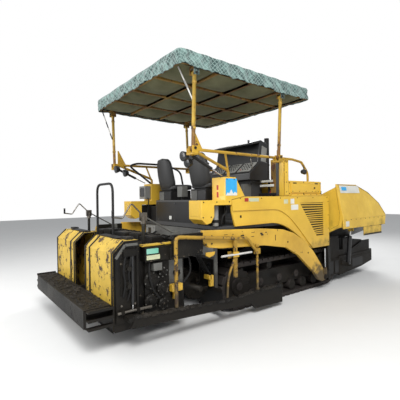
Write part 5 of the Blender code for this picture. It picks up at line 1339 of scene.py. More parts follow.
@dataclass
class TowGear:
    """Tow arms with their tabs and pins, and the levelling blocks."""

    face: float = 1.275

    def build(self) -> None:
        """Build both arms and both blocks."""
        for side in both():
            s = side.value
            refined("tow_arm_" + side.word, "screed", [ARM_YELLOW], None, 0.008,
                    3, 24.0)
            arm = Shape(ARM_YELLOW)
            f = s * self.face
            arm.plate("xz", [(-1.80, 0.985), (-1.80, 0.94), (-1.74, 0.915), (-1.66, 0.94),
                             (-1.64, 0.985)], s * 1.235, s * 1.255)
            arm.box((-1.40, s * 1.235, 0.955), (-1.34, s * 1.255, 0.86), BOW_OCHRE)
            arm.bolts([(-1.82, f, 1.10), (-1.82, f, 1.20), (-1.72, f, 1.10), (-1.72, f, 1.20),
                       (-0.10, f, 0.98), (0.46, f, 0.74)], (0, s, 0), 0.014, 0.008, BLACK_PAINT)
            arm.lathe((0.995, s * 1.262, 0.24), (0, s, 0), [(0.0, 0.050), (0.022, 0.050),
                                                            (0.024, 0.026), (0.036, 0.024)], 20,
                      FRAME_BLACK)
            arm.box((0.93, s * 1.270, 0.30), (1.03, s * 1.288, 0.40), BOW_OCHRE)
            arm.rod((0.98, s * 1.292, 0.29), (0.98, s * 1.292, 0.42), 0.014, BOW_OCHRE)
            rng = np.random.default_rng(RNG_SEED + 20 + s)
            spots = np.stack([rng.uniform(-1.62, -0.50, 16), rng.uniform(1.12, 1.20, 16)], axis=-1)
            for (x, z), (long, tall) in zip(spots.tolist(),
                                            rng.uniform(0.006, 1.0, (16, 2)).tolist()):
                arm.box((x, f, z), (x + 0.012 + 0.06 * long ** 2, s * 1.2762,
                                    z + 0.005 + 0.020 * tall ** 2), BLACK_PAINT)
            arm.box((-0.415, f, 1.03), (-0.403, s * 1.2762, 1.12), BLACK_PAINT)
            arm.build("tow_arm_fittings_" + side.word, "screed", "yellow_paint", 0.002)
            refined("tow_block_" + side.word, "tow_points",
                    [FRAME_BLACK, CHROME], lambda c, n: (c[:, 2] > 0.315).astype(int), 0.003, 2)
            guide = Shape(BLACK_PAINT)
            guide.box((1.232, s * 1.192, 0.14), (1.300, s * 1.20, 0.76))
            guide.bolts(row((1.268, s * 1.2, 0.20), (1.268, s * 1.2, 0.70), 5), (0, s, 0),
                        0.010, 0.007)
            guide.build("tow_guide_cover_" + side.word, "tractor", "black_steel", 0.002)


@dataclass
class Hopper:
    """The receiving hopper: body, wings with cylinders, push beam and rollers."""

    wing_front: float = 3.125

    def build(self) -> None:
        """Build the hopper."""
        refined("hopper_base", "tractor", [FRAME_BLACK, WALK_STEEL],
                lambda c, n: ((n[:, 2] > 0.5) & (np.abs(c[:, 1]) < 0.66)
                              & (c[:, 2] < 0.5)).astype(int), 0.004, 1)
        refined("push_beam", "tractor", [FRAME_BLACK], None, 0.006, 2)
        body = Shape(FRAME_BLACK)
        for side in both():
            s = side.value
            body.plate("xz", [(1.79, 0.46), (1.79, 0.86), (1.865, 0.855), (1.865, 0.62),
                              (2.005, 0.62), (2.005, 0.845), (2.30, 0.82), (2.78, 0.76),
                              (3.08, 0.62), (3.08, 0.46)], s * 1.03, s * 1.06)
            body.box((1.85, s * 0.965, 0.50), (2.02, s * 0.990, 0.83))
            body.plate("xz", [(2.16, 0.50), (2.30, 0.60), (2.80, 0.74), (3.10, 0.74),
                              (3.10, 0.50)], s * 1.061, s * 1.085)
            body.box((1.32, s * 1.064, 0.44), (1.80, s * 1.080, 0.92))
            body.box((1.32, s * 1.070, 0.15), (1.79, s * 1.095, 0.47))
            body.box((1.42, s * 1.095, 0.18), (1.56, s * 1.105, 0.43), BLACK_PAINT)
            body.box((1.62, s * 1.095, 0.18), (1.76, s * 1.105, 0.43), BLACK_PAINT)
            body.bolts(row((1.88, s * 1.10, 0.44), (3.08, s * 1.10, 0.44), 8), (0, s, 0),
                       0.011, 0.008)
            body.box((2.30, s * 1.099, 0.22), (2.75, s * 1.106, 0.40), BLACK_PAINT)
            body.box((1.345, s * 0.705, 0.50), (1.36, s * 0.98, 1.80), MID_GREY)
            name = "push_roller_" + side.word
            refined(name, name, [WALK_STEEL], None, 0.004, 2, 40.0)
        body.box((3.028, -0.66, 0.40), (3.045, 0.66, 0.60), RUBBER)
        for y in np.linspace(-0.55, 0.55, 7).tolist():
            body.bolts([(3.045, y, 0.57)], (1, 0, 0), 0.012, 0.008)
        body.bolts(row((3.186, -0.9, 0.52), (3.186, 0.9, 0.52), 6), (1, 0, 0), 0.014, 0.010)
        body.build("hopper_fittings", "tractor", "black_steel", 0.002)
        for side in both():
            self.build_wing(side)

    def build_wing(self, side: Side) -> None:
        """One wing with its edge trim, ribs, hinge knuckles and cylinder."""
        s = side.value
        name = "hopper_wing_" + side.word
        refined(name, name, [WING_YELLOW, WALK_STEEL, FRAME_BLACK],
                lambda c, n: np.where((s * n[:, 1] < -0.25) | (n[:, 2] > 0.6), 1,
                                      np.where((n[:, 2] < -0.5) | (c[:, 2] < 0.86), 2, 0)),
                0.004, 2)
        trim = Shape(WING_YELLOW)
        x0 = 1.365
        half = 1.44
        lean = np.array([-0.14 * s, 0.66]) / math.hypot(0.14, 0.66)
        for x, top in ((x0 + 0.05, 1.90), (1.97, 1.90), (2.52, 1.72)):
            reach = (top - 1.31) / lean[1]
            start = np.array([x, s * (half - 0.006), 1.305])
            end = start + np.array([0.0, lean[0], lean[1]]) * reach
            trim.beam(start, end, 0.045, 0.010, None, (0.0, -s * 1.0, 0.2))
        trim.rod((x0, s * (half - 0.004), 1.29), (self.wing_front - 0.01, s * (half - 0.004), 1.29),
                 0.008, None, 8)
        trim.box((2.155, s * 1.4385, 0.925), (2.92, s * 1.4405, 0.955), BLACK_PAINT)
        for x in (1.62, 2.42, 2.88):
            trim.rod((x - 0.05, s * 1.428, 1.10), (x + 0.05, s * 1.428, 1.10), 0.013,
                     BLACK_PAINT, 10)
        trim.box((3.116, s * 1.20, 1.10), (3.128, s * 1.425, 1.285), RUBBER)
        trim.box((1.44, s * 1.441, 1.14), (1.56, s * 1.443, 1.24), WHITE_PANEL)
        over = np.array([0.0, lean[0], lean[1]])
        sign = np.array([1.44, s * 1.4415, 1.305]) + over * 0.56
        trim.beam(sign, sign + [0.74, 0.0, 0.0], 0.15, 0.003, WHITE_PANEL,
                  (0.0, s * lean[1], -s * lean[0]))
        trim.beam(sign + [0.06, s * 0.003, 0.01], sign + [0.24, s * 0.003, 0.01], 0.07, 0.002,
                  BLUE_PANEL, (0.0, s * lean[1], -s * lean[0]))
        rim = [(x, s * (half + 0.001 - 0.212 * (z - 1.29)), z) for x, z in
               ((x0 + 0.01, 1.943), (2.12, 1.930), (2.525, 1.797), (2.92, 1.566), (3.115, 1.32))]
        trim.tube(rim, 0.007, BOW_OCHRE, 0.02, 8)
        trim.bolts(row((1.45, s * 1.4405, 1.265), (2.95, s * 1.4405, 1.265), 9), (0, s, 0),
                   0.009, 0.005, BLACK_PAINT)
        trim.build(name + "_trim", name, "yellow_paint", 0.002)
        refined("wing_cylinder_" + side.word, "wing_barrel_" + side.word,
                [GLOSS_BLACK], None, 0.004, 2, 40.0)
        refined("wing_rod_" + side.word, "wing_rod_" + side.word,
                [CHROME, FRAME_BLACK], lambda c, n: (c[:, 2] > 0.995).astype(int), 0.002, 1,
                40.0)


@dataclass
class Screed:
    """The floating screed: main beam, extensions, walkway, rails, cranks and end gates."""

    rear: float = -3.055
    main_rear: float = -2.70
    deck: float = 1.14

    def build(self) -> None:
        """Build the screed."""
        refined("screed_frame", "screed", [OILY_CAST, WALK_STEEL],
                lambda c, n: (n[:, 2] > 0.6).astype(int), 0.005, 2)
        refined("screed_walkway", "screed", [WALK_STEEL], None, 0.004, 2)
        rail = Shape(BLACK_PAINT)
        x = self.main_rear + 0.03
        rail.tube([(x, 0.33, self.deck), (x, 0.33, 1.94), (x, -0.26, 1.94),
                   (x, -0.26, self.deck)], 0.0178, None, 0.13, 14)
        for y in (-0.26, 0.33):
            rail.box((x - 0.04, y - 0.04, self.deck + 0.0003), (x + 0.04, y + 0.04, 1.152))
        rail.build("handrail_shell", "screed", "black_steel", 0.0, sharp=50.0,
                   stands_for=("screed_handrail",))
        self.build_deck()
        self.build_walkway()
        for side in both():
            self.build_extension(side)
            self.build_gate(side)
            self.build_crank(side)
            self.build_end(side)

    def build_deck(self) -> None:
        """Boxes, pipes and asphalt crumbs on the screed's deck, and the gap's pipe and rod."""
        deck = Shape(BLACK_PAINT)
        z = self.deck + 0.0005
        for low, high, tall in ((-0.95, -0.62, 0.07), (-0.58, -0.30, 0.085), (-0.16, 0.22, 0.07),
                                (0.38, 0.66, 0.085), (0.70, 0.98, 0.06)):
            deck.box((-2.45, low, z), (-2.28, high, z + tall), FRAME_BLACK)
            deck.box((-2.44, low + 0.03, z + tall), (-2.29, high - 0.03, z + tall + 0.012))
        deck.rod((-2.16, -1.02, z + 0.035), (-2.16, 1.02, z + 0.035), 0.030, OILY_CAST, 16)
        for y in np.linspace(-0.9, 0.9, 7).tolist():
            deck.box((-2.20, y - 0.02, z), (-2.12, y + 0.02, z + 0.075), FRAME_BLACK)
            deck.tube([(-2.29, y + 0.05, z + 0.03), (-2.22, y + 0.07, z + 0.09),
                       (-2.10, y + 0.05, z + 0.05), (-2.055, y + 0.05, z + 0.01)], 0.010,
                      RUBBER, 0.05, 8)
        deck.rod((-2.735, -0.55, 0.93), (-2.735, 0.55, 0.93), 0.022, FRAME_BLACK, 12)
        deck.rod((-2.72, 0.02, 0.50), (-2.72, 0.02, 1.13), 0.014, BRIGHT_STEEL, 12)
        deck.box((-2.712, -0.17, 0.66), (-2.702, 0.17, 0.90), SCREED_YELLOW)
        rng = np.random.default_rng(RNG_SEED)
        count = 150
        place = np.stack([rng.uniform(-2.68, -2.07, count), rng.uniform(-1.02, 1.02, count),
                          np.full(count, z + 0.004)], axis=-1)
        deck.lumps(place, rng.uniform(0.006, 0.020, (count, 1)) * [1.4, 1.4, 0.7], rng, ASPHALT)
        deck.build("screed_deck_parts", "screed", "black_steel", 0.002)

    def build_walkway(self) -> None:
        """Tread studs, fascia bolts, end plates and crumbs on the walkway."""
        walk = Shape(WALK_STEEL)
        points, faces = Platform().stud()
        studs = np.array([(x, y, 0.52) for x in np.arange(-3.345, -3.09, 0.055)
                          for y in np.arange(-1.06, 1.07, 0.07)])
        walk.copies(points * [0.8, 0.8, 1.0], faces, studs)
        walk.bolts(row((-3.375, -1.0, 0.46), (-3.375, 1.0, 0.46), 9), (-1, 0, 0), 0.011, 0.0)
        for side in both():
            s = side.value
            for z in (0.315, 0.405, 0.500):
                walk.box((-3.36, s * 1.1005, z), (-3.075, s * 1.205, z + 0.010))
                walk.box((-3.36, s * 1.197, z), (-3.075, s * 1.207, z + 0.030), FRAME_BLACK)
            walk.box((-3.085, s * 1.1005, 0.315), (-3.073, s * 1.205, 0.510), FRAME_BLACK)
            walk.box((-3.365, s * 1.1005, 0.315), (-3.355, s * 1.13, 0.510), FRAME_BLACK)
        rng = np.random.default_rng(RNG_SEED + 5)
        count = 160
        place = np.stack([rng.uniform(-3.34, -3.08, count), rng.uniform(-1.07, 1.07, count),
                          np.full(count, 0.524)], axis=-1)
        walk.lumps(place, rng.uniform(0.005, 0.018, (count, 1)) * [1.5, 1.5, 0.7], rng, ASPHALT)
        walk.build("walkway_tread", "screed", "grey_steel")

    def build_extension(self, side: Side) -> None:
        """One extension: shell, ribs, pressed panels and the edge strip on its top."""
        s = side.value
        body = "extension_" + side.word
        refined("screed_extension_" + side.word, body,
                [SCREED_YELLOW, FRAME_BLACK, OILY_CAST],
                lambda c, n: np.where(((c[:, 0] > self.rear + 0.025) & (n[:, 0] > -0.4)
                                       & (n[:, 2] < 0.3)) | (np.abs(n[:, 1]) > 0.5), 1,
                                      np.where(c[:, 2] < 0.24, 2, 0)), 0.005, 2)
        trim = Shape(SCREED_YELLOW)
        x = self.rear
        for y in (0.225, 0.385, 1.103):
            trim.box((x - 0.001, s * y, 0.24), (x - 0.009, s * (y + 0.0375), 1.10), FRAME_BLACK)
            start = np.array([x - 0.004, s * (y + 0.017), 1.098])
            end = np.array([x + 0.136, s * (y + 0.017), 1.233])
            trim.beam(start, end, 0.035, 0.010, FRAME_BLACK, (-0.6, 0.0, 0.7))
        trim.box((x - 0.001, s * 0.22, 0.20), (x - 0.006, s * 1.1405, 0.49), FRAME_BLACK)
        trim.box((x - 0.001, s * 0.275, 0.50), (x - 0.0035, s * 0.37, 1.04))
        trim.box((x - 0.001, s * 0.44, 0.50), (x - 0.0035, s * 1.08, 1.04))
        trim.box((x - 0.0035, s * 0.46, 0.66), (x - 0.006, s * 1.06, 0.675))
        trim.bolts([(x - 0.002, s * y, z) for y in (0.32, 0.47, 0.76, 1.05)
                    for z in (0.56, 0.99)], (-1, 0, 0), 0.011, 0.007, BLACK_PAINT)
        trim.rod((x - 0.006, s * 0.23, 0.215), (x - 0.006, s * 1.13, 0.215), 0.012, OILY_CAST, 8)
        trim.box((self.rear + 0.16, s * 0.30, 1.2297), (self.rear + 0.27, s * 0.90, 1.245),
                 FRAME_BLACK)
        trim.box((self.rear + 0.20, s * 0.94, 1.2297), (self.rear + 0.29, s * 1.08, 1.262),
                 BLACK_PAINT)
        trim.build(body + "_trim", body, "yellow_paint", 0.002)

    def build_end(self, side: Side) -> None:
        """The cast drive at the end of the main screed, with hubs, bolts and blank plates."""
        s = side.value
        end = Shape(OILY_CAST)
        y = s * 1.0805
        end.box((-2.64, y, 0.30), (-2.09, s * 1.115, 0.94), OILY_CAST)
        end.box((-2.30, y, 0.60), (-2.09, s * 1.120, 0.945), MID_GREY)
        end.box((-2.30, s * 1.12, 0.54), (-2.14, s * 1.19, 0.63), ARM_YELLOW)
        end.box((-2.26, s * 1.13, 0.44), (-2.20, s * 1.17, 0.54), ARM_YELLOW)
        end.box((-2.70, s * 1.10, self.deck + 0.0005), (-2.05, s * 1.165, 1.166),
                SCREED_YELLOW)
        end.box((-2.56, s * 1.116, 0.84), (-2.44, s * 1.19, 0.93), MID_GREY)
        for x, z, r in ((-2.56, 0.72, 0.105), (-2.40, 0.80, 0.060), (-2.40, 0.60, 0.085),
                        (-2.57, 0.47, 0.090), (-2.40, 0.41, 0.070), (-2.19, 0.76, 0.05)):
            end.lathe((x, s * 1.114, z), (0, s, 0),
                      [(0.0, r), (0.030, r), (0.034, r * 0.82), (0.040, r * 0.80),
                       (0.042, r * 0.45), (0.060, r * 0.42), (0.062, 0.012)], 22)
            ring = np.linspace(0.3, 0.3 + 2 * math.pi, 7)[:-1]
            end.bolts([(x + r * 0.90 * math.cos(a), s * 1.144, z + r * 0.90 * math.sin(a))
                       for a in ring.tolist()], (0, s, 0), 0.011, 0.010, MID_GREY)
        end.box((-2.68, s * 1.08, 0.96), (-2.10, s * 1.20, 1.135), OILY_CAST)
        end.box((-2.66, s * 1.2, 1.055), (-2.50, s * 1.2012, 1.118), GREEN_PANEL)
        end.box((-2.66, s * 1.2, 0.985), (-2.48, s * 1.2012, 1.040), CREAM_PANEL)
        end.tube([(-2.60, s * 1.16, 0.97), (-2.62, s * 1.18, 0.80), (-2.56, s * 1.17, 0.60),
                  (-2.47, s * 1.17, 0.50)], 0.013, RUBBER, 0.08)
        end.tube([(-2.12, s * 1.15, 1.02), (-2.02, s * 1.17, 0.95), (-1.98, s * 1.15, 0.74),
                  (-2.10, s * 1.14, 0.62)], 0.013, RUBBER, 0.10)
        end.box((-2.10, s * 0.98, 0.30), (-2.046, s * 1.06, 0.92), MID_GREY)
        end.build("screed_drive_" + side.word, "screed", "grey_steel", 0.004, 2)

    def build_gate(self, side: Side) -> None:
        """One end gate with its beam, debris, bow, sensor bracket and bent rod."""
        s = side.value
        body = "extension_" + side.word
        refined("end_gate_" + side.word, body, [FRAME_BLACK], None, 0.006, 2)
        refined("gate_frame_" + side.word, body, [BOW_OCHRE], None, 0.0, 1, 50.0)
        gate = Shape(FRAME_BLACK)
        y = s * 1.32
        gate.box((-1.36, y - 0.012, 0.60), (-1.30, y + 0.012, 1.12), BOW_OCHRE)
        gate.rod((-1.60, s * 1.335, 0.92), (-1.02, s * 1.335, 0.92), 0.015, ALUMINIUM, 12)
        gate.box((-1.38, s * 1.32, 0.885), (-1.28, s * 1.345, 0.955), ARM_YELLOW)
        gate.tube([(-1.33, y, 0.90), (-1.47, y, 0.62), (-1.49, y, 0.345)], 0.015, BOW_OCHRE,
                  0.10)
        turns = np.linspace(0.0, 1.0, 90)
        screw = np.stack([-0.885 + 0.018 * np.cos(turns * 60), y + 0.018 * np.sin(turns * 60),
                          0.42 + 0.50 * turns], axis=-1)
        gate.sweep(screw, 0.0035, 5, BOW_OCHRE)
        gate.box((-0.93, y - 0.025, 0.88), (-0.84, y + 0.025, 0.96), BOW_OCHRE)
        gate.box((-0.98, s * 1.30, 0.335), (-0.79, s * 1.355, 0.352), FRAME_BLACK)
        f = s * 1.1652
        gate.box((-2.98, f, 0.62), (-2.80, s * 1.172, 1.02), OILY_CAST)
        gate.beam((-3.030, s * 1.168, 1.04), (-2.915, s * 1.168, 1.185), 0.030, 0.008, MID_GREY,
                  (0.0, s, 0.0))
        gate.beam((-2.915, s * 1.168, 1.185), (-2.76, s * 1.168, 1.185), 0.030, 0.008, MID_GREY,
                  (0.0, s, 0.0))
        gate.box((-3.034, f, 0.32), (-3.004, s * 1.174, 1.03), FRAME_BLACK)
        gate.box((-2.786, f, 0.40), (-2.757, s * 1.186, 1.15), OILY_CAST)
        gate.rod((-3.03, s * 1.195, 0.43), (-2.60, s * 1.195, 0.43), 0.017, BRIGHT_STEEL, 12)
        gate.box((-2.99, f, 0.41), (-2.95, s * 1.215, 0.455), FRAME_BLACK)
        gate.box((-2.80, f, 0.41), (-2.76, s * 1.215, 0.455), FRAME_BLACK)
        gate.rod((-2.84, s * 1.190, 0.50), (-2.84, s * 1.190, 1.10), 0.019, GLOSS_BLACK, 12)
        gate.rod((-2.84, s * 1.190, 0.44), (-2.84, s * 1.190, 0.50), 0.011, CHROME, 10)
        gate.box((-2.95, f, 1.06), (-2.80, s * 1.215, 1.14), OILY_CAST)
        gate.tube([(-2.93, s * 1.20, 1.06), (-2.96, s * 1.21, 0.90), (-2.93, s * 1.20, 0.74),
                   (-2.95, s * 1.18, 0.60)], 0.012, RUBBER, 0.06, 8)
        gate.tube([(-2.86, s * 1.20, 1.06), (-2.90, s * 1.215, 0.86), (-2.87, s * 1.20, 0.66),
                   (-2.90, s * 1.18, 0.55)], 0.010, RUBBER, 0.06, 8)
        gate.bolts([(-2.97, s * 1.166, 0.50), (-2.80, s * 1.166, 0.50), (-2.97, s * 1.166, 1.10),
                    (-2.80, s * 1.166, 1.10)], (0, s, 0), 0.013, 0.009, BRIGHT_STEEL)
        for z in (0.72, 0.92):
            gate.lathe((-2.89, s * 1.171, z), (0, s, 0), [(0, 0.05), (0.02, 0.05),
                                                          (0.022, 0.03), (0.05, 0.028)], 18,
                       OILY_CAST)
        gate.box((-2.95, s * 1.18, 0.35), (-2.85, s * 1.33, 0.395), FRAME_BLACK)
        rng = np.random.default_rng(RNG_SEED + 2 + s)
        count = 330
        x = rng.uniform(-2.85, -0.40, count)
        z = np.interp(x, [-2.935, -2.875, -1.475, -0.885, -0.335],
                      [0.28, 0.40, 0.31, 0.335, 0.335])
        place = np.stack([x, s * rng.uniform(1.296, 1.345, count), z], axis=-1)
        gate.lumps(place, rng.uniform(0.010, 0.030, (count, 1)) * [1.4, 0.9, 0.8], rng, ASPHALT)
        gate.build("gate_parts_" + side.word, body, "black_steel", 0.0)

    def build_crank(self, side: Side) -> None:
        """A depth crank: post, head, cranked handle and long rod."""
        s = side.value
        refined("depth_crank_" + side.word, "screed", [BRIGHT_STEEL, MID_GREY],
                lambda c, n: (c[:, 2] < 1.42).astype(int), 0.0, 1, 50.0)
        knob = Shape(BRIGHT_STEEL)
        y = s * 0.98
        knob.lathe((-2.58, y, 1.40), (0, 0, 1), [(0.0, 0.034), (0.10, 0.034), (0.105, 0.024),
                                                 (0.13, 0.020)], 16)
        knob.rod((-2.98, y, 1.49), (-2.98, y, 1.58), 0.014, BLACK_PAINT)
        knob.build("crank_knob_" + side.word, "screed", "dark_grey")


# ============================================================================================
# rails and canopy
# ============================================================================================


def drape(piece: bpy.types.Object, held: np.ndarray, frames: int, growth: float,
          bending: float = 0.6) -> None:
    """Let a sheet settle under its own weight as cloth, and keep the settled shape.

    Args:
        piece: The sheet.
        held: How firmly each point is held, 0 to 1.
        frames: Frames to run.
        growth: Share that the cloth is larger than its mesh, which makes it wrinkle.
        bending: Bending stiffness.
    """
    group = piece.vertex_groups.new(name="held")
    for level in np.unique(held).tolist():
        if level > 0:
            group.add(np.flatnonzero(held == level).tolist(), level, "REPLACE")
    cloth = piece.modifiers.new("cloth", "CLOTH")
    cloth.settings.quality = 5
    cloth.settings.mass = 0.2
    cloth.settings.bending_stiffness = bending
    cloth.settings.tension_stiffness = 18.0
    cloth.settings.air_damping = 2.0
    cloth.settings.vertex_group_mass = "held"
    cloth.settings.shrink_min = -growth
    cloth.collision_settings.use_collision = False
    cloth.point_cache.frame_start = 1
    cloth.point_cache.frame_end = frames + 1
    scene = bpy.context.scene
    for step in range(1, frames + 1):
        scene.frame_set(step)
    settled = bpy.data.meshes.new_from_object(
        piece.evaluated_get(bpy.context.evaluated_depsgraph_get()))
    scene.frame_set(1)
    piece.modifiers.remove(cloth)
    piece.vertex_groups.clear()
    settled.name = piece.name
    piece.data = settled


@dataclass
class Canopy:
    """The folding roof: posts, lattice, lining, net cover, stays and lamps."""

    rear: float = -2.265
    front: float = 0.405
    half: float = 1.36
    low: float = 3.37
    top: float = 3.565
    corner: float = 0.05
    rim: float = 0.02

    def outline(self, count: int) -> tuple[np.ndarray, np.ndarray]:
        """The roof's plan: a rectangle with round corners, walked at even steps.

        Args:
            count: Points round it.

        Returns:
            The points about the roof's middle, and the outward directions.
        """
        a, b = (self.front - self.rear) / 2 - 0.004, self.half - 0.004
        r = self.corner
        angle = np.linspace(0.0, math.pi / 2, 8)
        arcs = [np.stack([sx * (a - r) + r * np.cos(angle + turn),
                          sy * (b - r) + r * np.sin(angle + turn)], axis=-1)
                for sx, sy, turn in ((1, 1, 0.0), (-1, 1, math.pi / 2), (-1, -1, math.pi),
                                     (1, -1, 1.5 * math.pi))]
        line = np.concatenate(arcs + [arcs[0][:1]])
        walked = np.concatenate([[0.0], np.cumsum(np.linalg.norm(np.diff(line, axis=0),
                                                                 axis=1))])
        at = np.linspace(0.0, walked[-1], count, endpoint=False)
        points = np.stack([np.interp(at, walked, line[:, k]) for k in (0, 1)], axis=-1)
        along = unit(np.roll(points, -1, axis=0) - np.roll(points, 1, axis=0))
        return points, np.stack([along[:, 1], -along[:, 0]], axis=-1)

    def build(self) -> None:
        """Build the roof, its posts and the rails that carry them."""
        self.build_net()
        self.build_lining()
        self.build_lattice()
        self.build_posts()
        for side in both():
            self.build_rails(side)

    def build_net(self) -> None:
        """The net: rings that grow from the middle to the rim, then rows down the skirt.

        The skirt swings in and out by sums of sines along the rim that grow towards the hem.
        """
        count, rings, rows = 300, 34, 12
        rim, outward = self.outline(count)
        middle = np.array([(self.rear + self.front) / 2, 0.0])
        grow = np.linspace(0.02, 1.0, rings)[:, None, None]
        flat = rim[None] * grow
        walk = np.linspace(0.0, 2 * math.pi, count, endpoint=False)
        rng = np.random.default_rng(RNG_SEED + 9)
        slow = sum(np.sin(walk * k + rng.uniform(0, 6.28)) for k in (5, 9, 14, 21))
        fine = sum(np.sin(walk * k + rng.uniform(0, 6.28)) for k in (33, 47, 61, 83))
        height = np.full((rings, count), self.top - self.rim * 0.4)
        bow = np.sin(flat[:, :, 0] * 4.7) * np.sin(flat[:, :, 1] * 4.6)
        height -= 0.010 + 0.010 * bow + 0.004 * np.sin(flat[:, :, 0] * 23 + flat[:, :, 1] * 9)
        height += (grow[:, :, 0] ** 24) * 0.012
        upper = np.concatenate([flat + middle, height[:, :, None]], axis=-1)
        drop = np.linspace(0.0, 1.0, rows + 1)[1:, None]
        hem = self.low - 0.004 + 0.004 * slow[None] + 0.003 * fine[None]
        hem = np.clip(hem, self.low - 0.014, self.low + 0.012)
        fall = self.top - self.rim + (hem - self.top + self.rim) * drop
        twist = np.sin(walk[None] * 64 + drop * 5.0 + 1.5 * slow[None])
        cross = np.sin(walk[None] * 41 - drop * 6.0 + 1.2 * fine[None])
        swing = 0.010 + drop * (0.004 * slow[None] + 0.003 * fine[None]) \
            + (0.010 * twist + 0.007 * cross) * np.sin(math.pi * np.clip(drop + 0.15, 0, 1))
        swing = np.clip(swing, -0.005, 0.032)
        skirt = np.concatenate([rim[None] + outward[None] * swing[:, :, None] + middle,
                                fall[:, :, None]], axis=-1)
        surface = np.concatenate([upper, skirt])
        net = Shape(Netting())
        net.grid(surface, wrap=True)
        net.patch(surface[0], [list(range(count))])
        mesh = net.mesh("canopy_net_cloth", turn_out=False)
        cut = np.concatenate([flat, rim[None] + outward[None]
                              * (drop * (self.top - self.low))[:, :, None]])
        cut = np.concatenate([cut.reshape(-1, 2), flat[0]])
        corner = np.zeros(len(mesh.loops), np.int32)
        mesh.loops.foreach_get("vertex_index", corner)
        mesh.uv_layers.new(name="cut").data.foreach_set("uv", cut[corner].ravel())
        work = bmesh.new()
        work.from_mesh(mesh)
        bmesh.ops.remove_doubles(work, verts=work.verts, dist=1e-6)
        bmesh.ops.recalc_face_normals(work, faces=work.faces)
        work.to_mesh(mesh)
        work.free()
        piece = settle("canopy_net_cloth", mesh, "canopy_roof", 0.0, 1, 60.0, ())
        place = np.zeros(len(mesh.vertices) * 3)
        mesh.vertices.foreach_get("co", place)
        place = place.reshape(-1, 3)
        away = np.maximum(np.abs(place[:, 0] - middle[0]) - (self.front - self.rear) / 2,
                          np.abs(place[:, 1]) - self.half)
        held = np.where((away > -0.06) & (place[:, 2] > self.top - 0.04), 1.0, 0.0)
        held = np.where(place[:, 2] < self.low + 0.022, 0.6, held)
        across, along = self.bars()
        bar = np.minimum(np.abs(place[:, :1] - across).min(axis=1),
                         np.abs(place[:, 1:2] - along).min(axis=1))
        held = np.where((bar < 0.03) & (place[:, 2] > self.top - 0.06), 1.0, held)
        drape(piece, held, 16, 0.02)
        thick = piece.modifiers.new("thickness", "SOLIDIFY")
        thick.thickness = 0.0018
        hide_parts("canopy_net")
        self.build_scraps()

    def build_scraps(self) -> None:
        """Torn cords that hang in loops below the hem on the left side."""
        rng = np.random.default_rng(RNG_SEED + 3)
        scraps = Shape(Finish("net_cord", (0.06, 0.075, 0.07), (0.16, 0.19, 0.18), 0.9))
        for index in range(34):
            x = -2.2 + 2.5 * index / 34 + float(rng.uniform(-0.03, 0.03))
            wide = float(rng.uniform(0.06, 0.16))
            start, end = (x, 1.352, 3.380), (x + wide, 1.352, 3.380)
            scraps.sweep(catenary(start, end, float(rng.uniform(0.002, 0.012))), 0.0022, 5)
        scraps.build("net_scraps", "canopy_roof", "net_fabric", sharp=60.0)

    def bars(self) -> tuple[np.ndarray, np.ndarray]:
        """Where the lattice's bars lie along and across the roof."""
        low, high = self.rear + 0.0123, self.front - 0.0123
        across = low + (high - low) * np.arange(1, 4) / 4
        half = self.half - 0.0123
        along = -half + 2 * half * np.arange(1, 4) / 4
        return across, along

    def build_lining(self) -> None:
        """The lining: a flat sheet that sags between the bars by |sin| times |sin|."""
        across, along = self.bars()
        x = np.linspace(self.rear + 0.02, self.front - 0.02, 105)
        y = np.linspace(-self.half + 0.02, self.half - 0.02, 105)
        gx, gy = np.meshgrid(x, y, indexing="ij")
        step_x, step_y = across[1] - across[0], along[1] - along[0]
        puff = np.abs(np.sin(math.pi * (gx - across[0]) / step_x)
                      * np.sin(math.pi * (gy - along[0]) / step_y))
        rng = np.random.default_rng(RNG_SEED + 4)
        depth = rng.uniform(0.058, 0.078, (6, 6))
        cell = depth[np.clip(((gx - x[0]) / step_x).astype(int), 0, 5),
                     np.clip(((gy - y[0]) / step_y).astype(int), 0, 5)]
        wrinkle = 0.003 * np.sin(gx * 17 + gy * 26) * np.sin(gy * 13 - gx * 9) * puff
        height = 3.4335 - puff ** 0.7 * cell + wrinkle
        sheet = Shape(CANVAS)
        sheet.grid(np.stack([gx, gy, height], axis=-1))
        piece = settle("canopy_lining_cloth", sheet.mesh("canopy_lining_cloth", turn_out=False),
                       "canopy_roof", 0.0, 1, 60.0, ())
        near_x = np.abs(gx[..., None] - across).min(axis=-1) < 0.018
        near_y = np.abs(gy[..., None] - along).min(axis=-1) < 0.018
        edge = (gx < x[2]) | (gx > x[-3]) | (gy < y[2]) | (gy > y[-3])
        drape(piece, (near_x | near_y | edge).astype(float).ravel(), 12, 0.012, 1.0)
        thick = piece.modifiers.new("thickness", "SOLIDIFY")
        thick.thickness = 0.0015
        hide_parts("canopy_lining")

